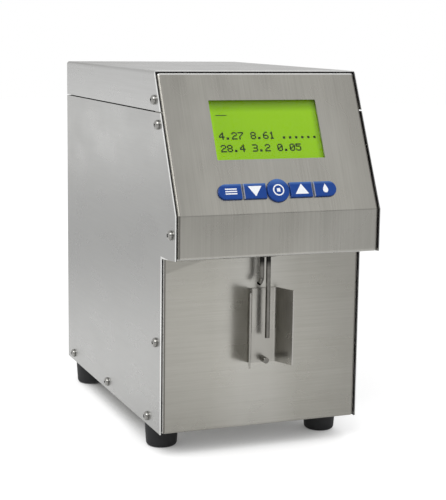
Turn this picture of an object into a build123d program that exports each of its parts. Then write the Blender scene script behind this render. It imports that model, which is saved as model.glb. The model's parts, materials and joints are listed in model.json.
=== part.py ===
from build123d import *
import os
from math import asin, atan2, cos, radians, sin, tan

# Housing, outside, without the feet, from the bottom up; the slope is as long as what it carries
width = 136.0
depth = 220.0
throat_height = 111.7
overhang = 26.0
overhang_rise = 2.5
band_height = 26.8
slope_setback = 15.0
slope_margin = 5.7
lid_height = 25.0

# Sheet metal
sheet = 1.0
bend = 2.0
seam_gap = 0.8
side_gap = 0.4
flange = 12.0
fit_gap = 0.3
running_gap = 0.05
overrun = 6.0
corner_relief = 1.6

# Vents in the rear wall
vent_length = 38.0
vent_width = 3.0
vent_spacing = 6.5
vent_rows = 7
vent_columns = 2
vent_spread = 48.0
vent_drop = 59.0

# M3 pan-head screws and their clearance holes
screw_radius = 1.5
screw_head_radius = 3.0
screw_head = 2.4
screw_chamfer = 0.9
screw_taper = 45.0
screw_length = 6.0
screw_slack = 0.15
screw_inset = 7.8
screw_low = 5.6
lid_screw_rise = 7.5
upper_screw_drop = 7.2
brow_screw_drop = 12.2
wall_screw_height = 57.3
wall_screw_inset = 9.2
low_screw_front = 25.3
low_screw_rear = 18.2
rear_screw_inset = 21.0
nut_across = 5.5
nut_thickness = 2.4

# Feet
foot_height = 16.0
foot_top_radius = 11.0
foot_low_radius = 9.9
foot_round = 2.5
foot_side_inset = 11.6
foot_front_inset = 30.9
foot_rear_inset = 23.7
foot_bore = 2.3
foot_recess_radius = 5.0
foot_recess = 9.0
foot_screw_radius = 2.0
foot_screw_head_radius = 4.0
foot_screw_head = 2.6
foot_screw_tail = 4.0

# Cup guide and its peg
plate_half = 9.2
wing_half = 15.0
wing_reach = 15.0
guide_low = 41.8
guide_tall = 48.0
guide_bend = 1.6
peg_radius = 1.95
peg_reach = 6.5
peg_rise = 2.4
peg_shank_radius = 1.5
peg_chamfer = 0.2
peg_tail = 1.0

# Sample tubes
tube_radius = 1.5
tube_bore = 1.0
tube_forward = 8.0
tube_stub = 9.3
intake_side = 0.1
outlet_side = -4.3
intake_drop = 52.6
outlet_drop = 15.2
outlet_turn = 50.0
outlet_swing = 25.0
outlet_bend = 4.0
outlet_tail = 3.4
grommet_lip = 1.2
grommet_neck = 2.2
grommet_rim = 1.6

# Display
window_width = 72.0
window_height = 39.0
window_round = 0.6
pane_thickness = 1.5
pane_margin = 3.0
bezel_side_rim = 3.5
bezel_end_rim = 4.5
bezel_depth = 7.0
bezel_sheet = 0.5
bezel_margin = 0.8
bezel_round = 2.0
glass_thickness = 2.8
glass_margin = 2.5
board_thickness = 1.6
display_board_width = 93.0
display_board_height = 67.0
stud_inset = 2.5
stud_radius = 1.25
spacer_radius = 2.5

# Keys
key_rise = 13.95
key_height = 9.6
enter_diameter = 14.6
side_key_inner = 8.0
side_key_outer = 22.8
end_key_inner = 23.9
end_key_outer = 39.1
key_proud = 1.8
key_round = 0.5
key_gap = 0.2
key_travel = 0.8
key_lip = 1.0
key_lip_reach = 0.9
key_lip_length = 9.0
stem_radius = 1.6
stem_engaged = 1.5
switch_size = 6.2
switch_height = 3.5
switch_floor = 0.5
key_board_width = 98.0
key_board_height = 13.0
key_stud_inset = 4.0

# Inner frame, a bent plate that carries the measuring cell and the pump
frame_setback = 66.0
frame_margin = 5.0
frame_height = 112.0
frame_foot = 16.0
frame_screw_inset = 20.0

# Measuring cell
cell_rise = 84.0
cell_length = 44.0
cell_thick = 22.0
cell_tall = 24.0
cell_round = 1.5
cell_bore = 4.0
transducer_radius = 8.0
transducer_seat = 6.0
transducer_cap_radius = 9.5
transducer_cap = 2.5
nipple_spread = 28.0
nipple_height = 10.0
cell_screw_spread = 17.0

# Peristaltic pump
pump_rise = 62.0
pump_radius = 24.0
pump_shoulder = 25.0
pump_deep = 22.0
pump_floor = 2.0
hose_radius = 2.0
hose_bore = 1.55
hose_curve = 16.0
roller_radius = 4.8
roller_circle = 8.7
roller_length = 9.0
roller_count = 3
first_roller_angle = 90.0
roller_pin_radius = 1.5
rotor_disc_radius = 12.5
rotor_disc = 2.0
rotor_hub_radius = 3.4
shaft_radius = 2.0
shaft_engaged = 15.0
gearbox_radius = 18.5
gearbox_length = 21.0
motor_radius = 16.5
motor_length = 27.0
motor_boss_radius = 5.0
motor_boss = 3.0
motor_chamfer = 2.0
pump_screw_angle = 45.0

# Hoses
hose_grip = 5.5
hose_turn = 8.0
return_hose_turn = 6.0
intake_hose_rise = 15.0
feed_hose_rise = 12.0
return_hose_rise = 6.0
return_swing_side = -7.3
return_swing_setback = 20.0

# Chassis shelf and the main board
shelf_clearance = 3.0
shelf_side_clearance = 3.6
shelf_rise = 58.0
shelf_foot = 7.0
shelf_screw_inset = 40.0
board_side_margin = 2.0
board_end_margin = 0.7
board_spacer = 6.0
board_spacer_across = 5.5
board_hole_inset = 5.0
chip_height = 3.6
square_chip = 24.0
long_chip_length = 30.0
long_chip_width = 10.0
long_chip_spacing = 16.0
capacitor_radius = 5.0
capacitor_height = 16.0
capacitor_spacing = 12.0
capacitor_count = 4
capacitor_chamfer = 0.8
sink_width = 34.0
sink_depth = 16.0
sink_height = 22.0
sink_base = 3.0
sink_fin = 1.4
sink_fins = 6
header_width = 26.0
header_depth = 6.0
header_height = 7.0
ribbon_width = 22.0
ribbon_thickness = 1.0
ribbon_side = 20.0
ribbon_turn = 9.0
ribbon_rise = 9.0
ribbon_stand = 18.0
ribbon_crest_setback = 84.0
ribbon_crest = 148.0
ribbon_drop = 27.0

# Ring transformer
ring_side = 6.0
ring_clearance = 33.0
ring_radius = 34.0
ring_bore = 9.0
ring_height = 34.0
ring_round = 8.0
washer_radius = 26.0
washer_thickness = 1.5
bolt_radius = 3.0
bolt_head_across = 10.0
bolt_head = 4.0

# Power inlet
inlet_side = -26.0
inlet_rise = 32.0
inlet_flange_width = 50.0
inlet_flange_height = 23.0
inlet_flange = 2.5
inlet_round = 4.0
inlet_body_width = 27.6
inlet_body_height = 20.0
inlet_body = 19.0
inlet_mouth_width = 24.0
inlet_mouth_height = 16.6
inlet_mouth_chamfer = 4.0
inlet_mouth = 15.5
inlet_hole_spread = 40.0
pin_spread = 14.0
pin_offset = 2.0
pin_width = 2.0
pin_height = 4.0
pin_reach = 14.0
pin_tail = 8.0

# Rocker switch
rocker_side = 12.0
rocker_rise = 32.0
rocker_bezel_width = 15.0
rocker_bezel_height = 21.0
rocker_bezel = 2.0
rocker_bezel_round = 2.0
rocker_body_width = 13.0
rocker_body_height = 19.0
rocker_body = 14.0
rocker_width = 9.6
rocker_radius = 7.4
rocker_pivot = -1.0
rocker_ridge = 3.2
rocker_end_angle = 35.0
rocker_heel = 6.0
rocker_heel_depth = 1.6
rocker_tilt = 10.0
trunnion_radius = 1.2
trunnion_length = 1.2

# Serial ports
port_side = 26.0
port_width = 16.9
port_height = 8.3
port_taper = 1.5
port_round = 2.2
port_shell = 4.6
port_flange_width = 30.8
port_flange_height = 12.5
port_flange = 1.0
port_flange_round = 2.0
port_body_width = 19.0
port_body_height = 10.6
port_body = 9.0
port_axis = 6.4
contact_spacing = 2.77
contact_row = 2.84
contact_count = 5
contact_radius = 0.55
contact_depth = 5.0
jack_spread = 25.0
jack_across = 4.75
jack_length = 5.0
jack_bore = 1.25
jack_thread = 4.0
jack_stud = 1.4

# Places worked out from the sizes above
window_rise = key_rise + (key_board_height + display_board_height) / 2 + fit_gap
slope_length = window_rise + display_board_height / 2 + slope_margin
lean = asin((slope_setback + overhang) / slope_length)
under_tilt = atan2(overhang_rise, overhang)
front = -(depth + jack_length - overhang) / 2
rear = front + depth
brow = front - overhang
bottom = foot_height
throat_z = bottom + throat_height
lip_z = throat_z + overhang_rise
brow_z = lip_z + band_height
top = brow_z + slope_length * cos(lean)
seam_z = top - lid_height
lid_z = seam_z + seam_gap
tray_half = width / 2 - sheet - side_gap
tray_rear = rear - sheet - fit_gap
frame_y = front + frame_setback
tube_y = front - tube_forward
tube_top = throat_z + tube_stub
screw_hole = screw_radius + screw_slack
floor_z = bottom + sheet

# Depths behind the slope's outer face, of the display and of the keys
bezel_front = sheet + pane_thickness + fit_gap
board_front = bezel_front + bezel_depth
board_back = board_front + board_thickness
lip_front = sheet + fit_gap
switch_front = lip_front + key_lip + key_travel + fit_gap
key_board_front = switch_front + switch_height
key_board_back = key_board_front + board_thickness
stud_x = display_board_width / 2 - stud_inset
stud_rise = display_board_height / 2 - stud_inset
key_stud_x = key_board_width / 2 - key_stud_inset


def slope_y(z):
    """Depth of the sloped front at a height."""
    return brow + (z - brow_z) * tan(lean)


# Planes of the outer faces, each with its normal pointing out
slope = Plane(origin=(0, brow, brow_z), x_dir=(1, 0, 0), z_dir=(0, -cos(lean), sin(lean)))
outwards = Axis(slope.origin, slope.z_dir)
wall = Plane(origin=(0, front, bottom), x_dir=(1, 0, 0), z_dir=(0, -1, 0))
under = Plane(origin=(0, front, throat_z), x_dir=(1, 0, 0), z_dir=(0, -sin(under_tilt), -cos(under_tilt)))
left = Plane(origin=(-width / 2, 0, 0), x_dir=(0, -1, 0), z_dir=(-1, 0, 0))
right = Plane(origin=(width / 2, 0, 0), x_dir=(0, 1, 0), z_dir=(1, 0, 0))
floor = Plane(origin=(0, 0, bottom), x_dir=(1, 0, 0), z_dir=(0, 0, 1))
belly = Plane(origin=(0, 0, bottom), x_dir=(1, 0, 0), z_dir=(0, 0, -1))


def back(x, z):
    """Plane on the rear wall's outer face, seen from behind."""
    return Plane(origin=(x, rear, z), x_dir=(-1, 0, 0), z_dir=(0, 1, 0))


low_screw_z = bottom + screw_low
upper_screw_z = seam_z - upper_screw_drop
lid_screw_z = seam_z + lid_screw_rise
side_screws_at = [
    (front + low_screw_front, low_screw_z),
    (front + (low_screw_front + depth - low_screw_rear) / 2, low_screw_z),
    (rear - low_screw_rear, low_screw_z),
    (front + wall_screw_inset, bottom + wall_screw_height),
    (brow + screw_inset, brow_z - brow_screw_drop),
    (slope_y(upper_screw_z) + screw_inset, upper_screw_z),
    (slope_y(lid_screw_z) + screw_inset, lid_screw_z),
]
rear_screw_x = width / 2 - rear_screw_inset
rear_screws_at = [
    (side * rear_screw_x, z) for z in (low_screw_z, upper_screw_z, lid_screw_z) for side in (-1, 1)
]
foot_x = width / 2 - foot_side_inset
feet_at = [(x, y) for x in (-foot_x, foot_x) for y in (front + foot_front_inset, rear - foot_rear_inset)]

# Inside: the cell and the pump share the width with equal gaps, and the shelf starts behind the motor
inner_gap = (width - 2 * sheet - 2 * pump_radius - cell_length - 2 * transducer_cap) / 3
pump_x = width / 2 - sheet - inner_gap - pump_radius
cell_x = -(width / 2 - sheet - inner_gap - transducer_cap - cell_length / 2)
frame_half = width / 2 - frame_margin
frame_screw_x = frame_half - frame_screw_inset
frame_screw_y = frame_y + sheet + frame_foot / 2
shelf_front = frame_y + sheet + gearbox_length + motor_length + motor_boss + shelf_clearance
shelf_rear = tray_rear - bend - fit_gap
shelf_length = shelf_rear - shelf_front
shelf_mid = (shelf_front + shelf_rear) / 2
shelf_half = foot_x - foot_screw_radius - shelf_side_clearance
shelf_foot_x = shelf_half - sheet - shelf_foot / 2
shelf_screw_y = shelf_length / 2 - shelf_screw_inset
board_width = 2 * (shelf_half - board_side_margin)
board_depth = shelf_length - 2 * board_end_margin
board_hole_x = board_width / 2 - board_hole_inset
board_hole_y = board_depth / 2 - board_hole_inset
ring_y = rear - ring_clearance - ring_radius
ports_at = (-port_side, port_side)
port_z = floor_z + shelf_rise + board_spacer + board_thickness + port_axis
inlet_z = bottom + inlet_rise
rocker_z = bottom + rocker_rise
peg_z = bottom + guide_low + peg_rise
guide_z = bottom + guide_low
tubes_at = [(intake_side, tube_y), (outlet_side, tube_y)]
tube_mid = (intake_side + outlet_side) / 2
tube_spread = intake_side - outlet_side
housing_outline = [
    (front, bottom),
    (front, throat_z),
    (brow, lip_z),
    (brow, brow_z),
    (slope_y(seam_z), seam_z),
    (rear, seam_z),
    (rear, bottom),
]
os.makedirs("parts", exist_ok=True)


def save(part, name):
    part.label = name
    export_step(part, f"parts/{name}.step")


# Key outlines on the slope, each a name, a middle and the ways it is rounded
keys = {
    "left_end_key": (-(end_key_inner + end_key_outer) / 2, -1),
    "down_key": (-(side_key_inner + side_key_outer) / 2, 0),
    "enter_key": (0, 0),
    "up_key": ((side_key_inner + side_key_outer) / 2, 0),
    "right_end_key": ((end_key_inner + end_key_outer) / 2, 1),
}


def key_outline(name, grow):
    """Outline of a key in its sketch, grown all round by a gap."""
    middle, rounded = keys[name]
    with Locations((middle, key_rise)):
        if name == "enter_key":
            Circle(enter_diameter / 2 + grow)
        elif rounded:
            end = key_height / 2 + grow
            straight = end_key_outer - end_key_inner - key_height / 2 + grow
            with Locations((rounded * (end_key_outer - end_key_inner) / 2 - rounded * key_height / 2, 0)):
                Circle(end)
                side = Align.MAX if rounded > 0 else Align.MIN
                Rectangle(straight, 2 * end, align=(side, Align.CENTER))
        else:
            Rectangle(side_key_outer - side_key_inner + 2 * grow, key_height + 2 * grow)


# Side walls and rear wall, one sheet bent twice
with BuildPart() as body_wrap:
    with BuildSketch(Plane.XY.offset(bottom)):
        with BuildLine() as plan:
            Polyline((-width / 2, brow), (-width / 2, rear), (width / 2, rear), (width / 2, brow))
            fillet(plan.vertices().group_by(Axis.Y)[-1], bend)
            offset(amount=sheet, side=Side.RIGHT)
        make_face()
    extrude(amount=seam_z - bottom)
    with BuildSketch(Plane.YZ):
        with BuildLine():
            Polyline(*housing_outline, close=True)
        make_face()
    extrude(amount=width, both=True, mode=Mode.INTERSECT)
    with BuildSketch(Plane.YZ):
        with Locations(*side_screws_at):
            Circle(screw_hole)
    extrude(amount=width, both=True, mode=Mode.SUBTRACT)
    with BuildSketch(back(0, 0)):
        with Locations(*rear_screws_at):
            Circle(screw_hole)
        with Locations((0, seam_z - vent_drop)):
            with GridLocations(vent_spread, vent_spacing, vent_columns, vent_rows):
                SlotOverall(vent_length, vent_width)
        with Locations((-inlet_side, inlet_z)):
            Rectangle(inlet_body_width + fit_gap, inlet_body_height + fit_gap)
            with GridLocations(inlet_hole_spread, 0, 2, 1):
                Circle(screw_hole)
        with Locations((-rocker_side, rocker_z)):
            Rectangle(rocker_body_width + fit_gap, rocker_body_height + fit_gap)
        with Locations(*[(-x, port_z) for x in ports_at]):
            RectangleRounded(port_width + 2 * fit_gap, port_height + 2 * fit_gap, port_round)
            with GridLocations(jack_spread, 0, 2, 1):
                Circle(jack_stud + running_gap)
    extrude(amount=-sheet - overrun, mode=Mode.SUBTRACT)
save(body_wrap.part, "body_wrap")

# Lid, a tray turned over, open along the slope
with BuildPart() as lid:
    with BuildSketch(Plane.YZ):
        with BuildLine():
            Polyline((slope_y(lid_z), lid_z), (slope_y(top), top), (rear, top), (rear, lid_z), close=True)
        make_face()
    extrude(amount=width / 2, both=True)
    rim = lid.faces().sort_by(Axis.Z)[-1].edges().sort_by(Axis.Y)[1:] + lid.edges().filter_by(Axis.Z)
    fillet(rim, bend)
    offset(amount=-sheet, openings=[lid.faces().sort_by(Axis.Z)[0], lid.faces().sort_by(Axis.Y)[0]])
    with BuildSketch(Plane.YZ):
        with Locations(side_screws_at[-1]):
            Circle(screw_hole)
    extrude(amount=width, both=True, mode=Mode.SUBTRACT)
    with BuildSketch(back(0, 0)):
        with Locations(*rear_screws_at[-2:]):
            Circle(screw_hole)
    extrude(amount=-sheet - overrun, mode=Mode.SUBTRACT)
    with BuildSketch(Plane.XY.offset(lid_z)):
        with Locations((-width / 2, rear), (width / 2, rear)):
            Rectangle(2 * corner_relief, 2 * corner_relief)
    extrude(amount=corner_relief, mode=Mode.SUBTRACT)
save(lid.part, "lid")

# Base and lower front wall, one sheet with turned-in side flanges
wall_top = throat_z - fit_gap
with BuildPart() as base_tray:
    with BuildSketch(Plane.YZ):
        with BuildLine():
            Polyline(
                (front, bottom),
                (front, wall_top),
                (tray_rear, wall_top),
                (tray_rear, bottom),
                close=True,
            )
        make_face()
    extrude(amount=tray_half, both=True)
    fillet(base_tray.faces().sort_by(Axis.Z)[0].edges() + base_tray.edges().filter_by(Axis.Z), bend)
    offset(amount=-sheet, openings=base_tray.faces().sort_by(Axis.Z)[-1])
    with BuildSketch(Plane.YZ):
        with BuildLine():
            Polyline(
                (front + flange, top),
                (front + flange, bottom + flange),
                (rear, bottom + flange),
                (rear, top),
                close=True,
            )
        make_face()
    extrude(amount=width, both=True, mode=Mode.SUBTRACT)
    with BuildSketch(Plane.YZ):
        with Locations(*side_screws_at[:4]):
            Circle(screw_hole)
    extrude(amount=width, both=True, mode=Mode.SUBTRACT)
    with BuildSketch(back(0, 0)):
        with Locations(*rear_screws_at[:2]):
            Circle(screw_hole)
    extrude(amount=-sheet - overrun, mode=Mode.SUBTRACT)
    with BuildSketch(wall):
        with Locations((0, peg_z - bottom)):
            Circle(peg_shank_radius + screw_slack)
    extrude(amount=-sheet - overrun, mode=Mode.SUBTRACT)
    with BuildSketch(Plane.XY.offset(bottom)):
        with Locations(*feet_at):
            Circle(foot_screw_radius + screw_slack)
        with Locations((ring_side, ring_y)):
            Circle(bolt_radius + screw_slack)
        with Locations((0, frame_screw_y)):
            with GridLocations(2 * frame_screw_x, 0, 2, 1):
                Circle(screw_hole)
        with Locations((0, shelf_mid)):
            with GridLocations(2 * shelf_foot_x, 2 * shelf_screw_y, 2, 2):
                Circle(screw_hole)
    extrude(amount=sheet, mode=Mode.SUBTRACT)
save(base_tray.part, "base_tray")

# Display front: slope, upright band, underside and a return at top and bottom
panel_top = top - sheet - fit_gap
with BuildPart() as display_panel:
    with BuildSketch(Plane.YZ):
        with BuildLine():
            Polyline(
                (front + flange, throat_z),
                (front, throat_z),
                (brow, lip_z),
                (brow, brow_z),
                (slope_y(panel_top), panel_top),
                (slope_y(panel_top) + flange, panel_top),
                close=True,
            )
        make_face()
    extrude(amount=tray_half, both=True)
    open_back = display_panel.faces().sort_by(lambda face: face.normal_at().Y)[-1]
    cross_bends = display_panel.edges().filter_by(Axis.X).group_by(Axis.Z)
    side_bends = display_panel.faces().filter_by(Axis.X).edges() - open_back.edges()
    fillet(cross_bends[1] + cross_bends[2] + cross_bends[3].sort_by(Axis.Y)[:1] + side_bends, bend)
    open_back = display_panel.faces().sort_by(lambda face: face.normal_at().Y)[-1]
    offset(amount=-sheet, openings=open_back)
    with BuildSketch(Plane.YZ):
        with BuildLine():
            Polyline(
                (rear, throat_z),
                (front, throat_z),
                (brow, lip_z),
                (brow, brow_z),
                (slope_y(panel_top), panel_top),
                (rear, panel_top),
                close=True,
            )
        make_face()
        offset(amount=-flange, kind=Kind.INTERSECTION)
    extrude(amount=width, both=True, mode=Mode.SUBTRACT)
    with BuildSketch(Plane.YZ):
        with Locations(*side_screws_at[4:]):
            Circle(screw_hole)
    extrude(amount=width, both=True, mode=Mode.SUBTRACT)
    with BuildSketch(slope):
        with Locations((0, window_rise)):
            RectangleRounded(window_width, window_height, window_round)
        for key in keys:
            key_outline(key, key_gap)
    extrude(amount=-sheet - overrun, mode=Mode.SUBTRACT)
    with BuildSketch(under):
        with Locations((tube_mid, tube_forward / cos(under_tilt))):
            SlotOverall(tube_spread + 2 * tube_radius + 2 * grommet_rim, 2 * tube_radius + 2 * grommet_rim)
    extrude(amount=-sheet - overrun, mode=Mode.SUBTRACT)
save(display_panel.part, "display_panel")

# Angle rail behind the seam, joining lid and rear wall
rail_half = width / 2 - sheet - bend - flange
rail_low = upper_screw_z - flange / 2
rail_high = lid_screw_z + flange / 2
with BuildPart() as lid_rail:
    with BuildSketch(Plane.YZ):
        with BuildLine() as angle:
            Polyline(
                (rear - sheet, rail_high),
                (rear - sheet, rail_low),
                (rear - sheet - flange, rail_low),
            )
            fillet(angle.vertices().group_by(Axis.Z)[0].sort_by(Axis.Y)[-1], bend)
            offset(amount=sheet, side=Side.RIGHT)
        make_face()
    extrude(amount=rail_half, both=True)
    with BuildSketch(back(0, 0)):
        with Locations(*rear_screws_at[2:]):
            Circle(screw_hole)
    extrude(amount=-2 * sheet - overrun, mode=Mode.SUBTRACT)
save(lid_rail.part, "lid_rail")

# Pan-head screws of the sides and of the rear wall
def pan_screws(plane, places, reach):
    """Screws with their heads on a plane and shanks of a length behind it."""
    with BuildPart() as screws:
        with BuildSketch(plane):
            with Locations(*places):
                Circle(screw_head_radius)
        extrude(amount=screw_head - screw_chamfer)
        with BuildSketch(plane.offset(screw_head - screw_chamfer)):
            with Locations(*places):
                Circle(screw_head_radius)
        extrude(amount=screw_chamfer, taper=screw_taper)
        with BuildSketch(plane):
            with Locations(*places):
                Circle(screw_radius)
        extrude(amount=-reach)
    return screws.part


left_screws = pan_screws(left, [(-y, z) for y, z in side_screws_at], screw_length)
right_screws = pan_screws(right, side_screws_at, screw_length)
with BuildPart() as side_screws:
    add(left_screws)
    add(right_screws)
save(side_screws.part, "side_screws")

wall_screws = pan_screws(back(0, 0), rear_screws_at, screw_length)
inlet_holes = [(side * inlet_hole_spread / 2, 0) for side in (-1, 1)]
inlet_face = back(inlet_side, inlet_z).offset(inlet_flange)
inlet_screws = pan_screws(inlet_face, inlet_holes, inlet_flange + screw_length)
with BuildPart() as rear_screws:
    add(wall_screws)
    add(inlet_screws)
save(rear_screws.part, "rear_screws")

# Rubber feet with a recess for the screw head, and their screws
with BuildPart() as feet:
    for x, y in feet_at:
        with BuildSketch(Plane(origin=(x, y, 0), x_dir=(1, 0, 0), z_dir=(0, -1, 0))):
            with BuildLine():
                Polyline(
                    (foot_bore, foot_recess),
                    (foot_recess_radius, foot_recess),
                    (foot_recess_radius, 0),
                    (foot_low_radius, 0),
                    (foot_top_radius, foot_height),
                    (foot_bore, foot_height),
                    close=True,
                )
            make_face()
            fillet(vertices().group_by(Axis.Y)[0].sort_by(Axis.X)[-1], foot_round)
        revolve(axis=Axis((x, y, 0), (0, 0, 1)))
save(feet.part, "feet")

with BuildPart() as foot_screws:
    with BuildSketch(Plane.XY.offset(foot_recess)):
        with Locations(*feet_at):
            Circle(foot_screw_head_radius)
    extrude(amount=-foot_screw_head)
    with BuildSketch(Plane.XY.offset(foot_recess)):
        with Locations(*feet_at):
            Circle(foot_screw_radius)
    extrude(amount=floor_z - foot_recess + foot_screw_tail)
save(foot_screws.part, "foot_screws")

# Cup guide folded from one strip, peg through its foot, and the peg's nut
with BuildPart() as cup_guide:
    with BuildSketch(Plane.XY.offset(guide_z)):
        with BuildLine() as fold:
            Polyline(
                (-wing_half, front - wing_reach),
                (-plate_half, front),
                (plate_half, front),
                (wing_half, front - wing_reach),
            )
            fillet(fold.vertices().group_by(Axis.Y)[-1], guide_bend + sheet)
            offset(amount=sheet, side=Side.RIGHT)
        make_face()
    extrude(amount=guide_tall)
    with BuildSketch(wall):
        with Locations((0, peg_z - bottom)):
            Circle(peg_shank_radius + screw_slack)
    extrude(amount=sheet + overrun, mode=Mode.SUBTRACT)
save(cup_guide.part, "cup_guide")

with BuildPart() as cup_peg:
    with BuildSketch(wall.offset(sheet)):
        with Locations((0, peg_z - bottom)):
            Circle(peg_radius)
    extrude(amount=peg_reach)
    chamfer(cup_peg.faces().sort_by(Axis.Y)[0].edges(), peg_chamfer)
    with BuildSketch(wall.offset(sheet)):
        with Locations((0, peg_z - bottom)):
            Circle(peg_shank_radius)
    extrude(amount=-(2 * sheet + nut_thickness + peg_tail))
save(cup_peg.part, "cup_peg")

with BuildPart() as inner_nuts:
    with BuildSketch(wall.offset(-sheet)):
        with Locations((0, peg_z - bottom)):
            RegularPolygon(nut_across / 2, 6, major_radius=False)
            Circle(peg_shank_radius + running_gap, mode=Mode.SUBTRACT)
    extrude(amount=-nut_thickness)
    with BuildSketch(slope.offset(-board_back)):
        with Locations((0, window_rise)):
            with GridLocations(2 * stud_x, 2 * stud_rise, 2, 2):
                RegularPolygon(nut_across / 2, 6, major_radius=False)
                Circle(stud_radius + running_gap, mode=Mode.SUBTRACT)
    extrude(amount=-nut_thickness)
    with BuildSketch(slope.offset(-key_board_back)):
        with Locations((0, key_rise)):
            with GridLocations(2 * key_stud_x, 0, 2, 1):
                RegularPolygon(nut_across / 2, 6, major_radius=False)
                Circle(stud_radius + running_gap, mode=Mode.SUBTRACT)
    extrude(amount=-nut_thickness)
save(inner_nuts.part, "inner_nuts")

# Intake tube, outlet tube with its bent end, and the grommet that holds both
with BuildPart() as intake_tube:
    with BuildSketch(Plane.XY.offset(tube_top)):
        with Locations(tubes_at[0]):
            Circle(tube_radius)
            Circle(tube_bore, mode=Mode.SUBTRACT)
    extrude(amount=-tube_stub - intake_drop)
save(intake_tube.part, "intake_tube")

with BuildPart() as outlet_tube:
    with BuildLine():
        knee = Vector(outlet_side, tube_y, throat_z - outlet_drop)
        down = Vector(0, 0, -outlet_tail)
        tail = down.rotate(Axis.Y, outlet_turn).rotate(Axis.Z, outlet_swing)
        FilletPolyline((outlet_side, tube_y, tube_top), knee, knee + tail, radius=outlet_bend)
    with BuildSketch(Plane.XY.offset(tube_top)):
        with Locations(tubes_at[1]):
            Circle(tube_radius)
            Circle(tube_bore, mode=Mode.SUBTRACT)
    sweep()
save(outlet_tube.part, "outlet_tube")

with BuildPart() as tube_grommet:
    neck_length = tube_spread + 2 * tube_radius + 2 * grommet_rim - 2 * running_gap
    neck_width = 2 * tube_radius + 2 * grommet_rim - 2 * running_gap
    with BuildSketch(under.offset(grommet_lip)):
        with Locations((tube_mid, tube_forward / cos(under_tilt))):
            SlotOverall(neck_length + 2 * grommet_neck, neck_width + 2 * grommet_neck)
    extrude(amount=-2 * grommet_lip - sheet)
    with BuildSketch(under.offset(running_gap)):
        with Locations((tube_mid, tube_forward / cos(under_tilt))):
            SlotOverall(neck_length + 2 * grommet_neck, neck_width + 2 * grommet_neck)
            SlotOverall(neck_length, neck_width, mode=Mode.SUBTRACT)
    extrude(amount=-sheet - 2 * running_gap, mode=Mode.SUBTRACT)
    with BuildSketch(Plane.XY.offset(throat_z - overrun)):
        with Locations(*tubes_at):
            Circle(tube_radius + running_gap)
    extrude(amount=2 * overrun + grommet_lip, mode=Mode.SUBTRACT)
save(tube_grommet.part, "tube_grommet")

# Display: pane on the panel, metal bezel over the glass and its backlight, circuit board behind
with BuildPart() as display_window:
    with BuildSketch(slope.offset(-sheet)):
        with Locations((0, window_rise)):
            Rectangle(window_width + 2 * pane_margin, window_height + 2 * pane_margin)
    extrude(amount=-pane_thickness)
save(display_window.part, "display_window")

with BuildPart() as display_bezel:
    with BuildSketch(slope.offset(-bezel_front)):
        with Locations((0, window_rise)):
            RectangleRounded(
                window_width + 2 * bezel_side_rim, window_height + 2 * bezel_end_rim, bezel_round
            )
    extrude(amount=-bezel_depth)
    offset(amount=-bezel_sheet, openings=display_bezel.faces().sort_by(outwards)[0])
    with BuildSketch(slope.offset(-bezel_front)):
        with Locations((0, window_rise)):
            Rectangle(window_width + 2 * bezel_margin, window_height + 2 * bezel_margin)
    extrude(amount=-bezel_sheet, mode=Mode.SUBTRACT)
save(display_bezel.part, "display_bezel")

with BuildPart() as display_glass:
    with BuildSketch(slope.offset(-bezel_front - bezel_sheet)):
        with Locations((0, window_rise)):
            Rectangle(window_width + 2 * glass_margin, window_height + 2 * glass_margin)
    extrude(amount=-glass_thickness)
save(display_glass.part, "display_glass")

with BuildPart() as display_backlight:
    with BuildSketch(slope.offset(-bezel_front - bezel_sheet - glass_thickness)):
        with Locations((0, window_rise)):
            Rectangle(window_width + 2 * glass_margin, window_height + 2 * glass_margin)
    extrude(amount=-(bezel_depth - bezel_sheet - glass_thickness))
save(display_backlight.part, "display_backlight")

with BuildPart() as display_board:
    with BuildSketch(slope.offset(-board_front)):
        with Locations((0, window_rise)):
            Rectangle(display_board_width, display_board_height)
            with GridLocations(2 * stud_x, 2 * stud_rise, 2, 2):
                Circle(stud_radius + screw_slack, mode=Mode.SUBTRACT)
    extrude(amount=-board_thickness)
save(display_board.part, "display_board")

# Key board, switches, weld studs and spacers
with BuildPart() as key_board:
    with BuildSketch(slope.offset(-key_board_front)):
        with Locations((0, key_rise)):
            Rectangle(key_board_width, key_board_height)
            with GridLocations(2 * key_stud_x, 0, 2, 1):
                Circle(stud_radius + screw_slack, mode=Mode.SUBTRACT)
    extrude(amount=-board_thickness)
save(key_board.part, "key_board")

with BuildPart() as key_switches:
    with BuildSketch(slope.offset(-key_board_front)):
        for middle, rounded in keys.values():
            with Locations((middle, key_rise)):
                Rectangle(switch_size, switch_size)
    extrude(amount=switch_height)
    with BuildSketch(slope.offset(-switch_front)):
        for middle, rounded in keys.values():
            with Locations((middle, key_rise)):
                Circle(stem_radius + fit_gap)
    extrude(amount=-(switch_height - switch_floor), mode=Mode.SUBTRACT)
save(key_switches.part, "key_switches")

with BuildPart() as panel_studs:
    for rise, spread_x, spread_y, rows, reach in (
        (window_rise, 2 * stud_x, 2 * stud_rise, 2, board_back),
        (key_rise, 2 * key_stud_x, 0, 1, key_board_back),
    ):
        with BuildSketch(slope.offset(-sheet)):
            with Locations((0, rise)):
                with GridLocations(spread_x, spread_y, 2, rows):
                    Circle(stud_radius)
        extrude(amount=-(reach - sheet + nut_thickness + board_thickness))
save(panel_studs.part, "panel_studs")

with BuildPart() as panel_spacers:
    for rise, spread_x, spread_y, rows, reach in (
        (window_rise, 2 * stud_x, 2 * stud_rise, 2, board_front),
        (key_rise, 2 * key_stud_x, 0, 1, key_board_front),
    ):
        with BuildSketch(slope.offset(-sheet)):
            with Locations((0, rise)):
                with GridLocations(spread_x, spread_y, 2, rows):
                    Circle(spacer_radius)
                    Circle(stud_radius + running_gap, mode=Mode.SUBTRACT)
        extrude(amount=-(reach - sheet))
save(panel_spacers.part, "panel_spacers")

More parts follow.
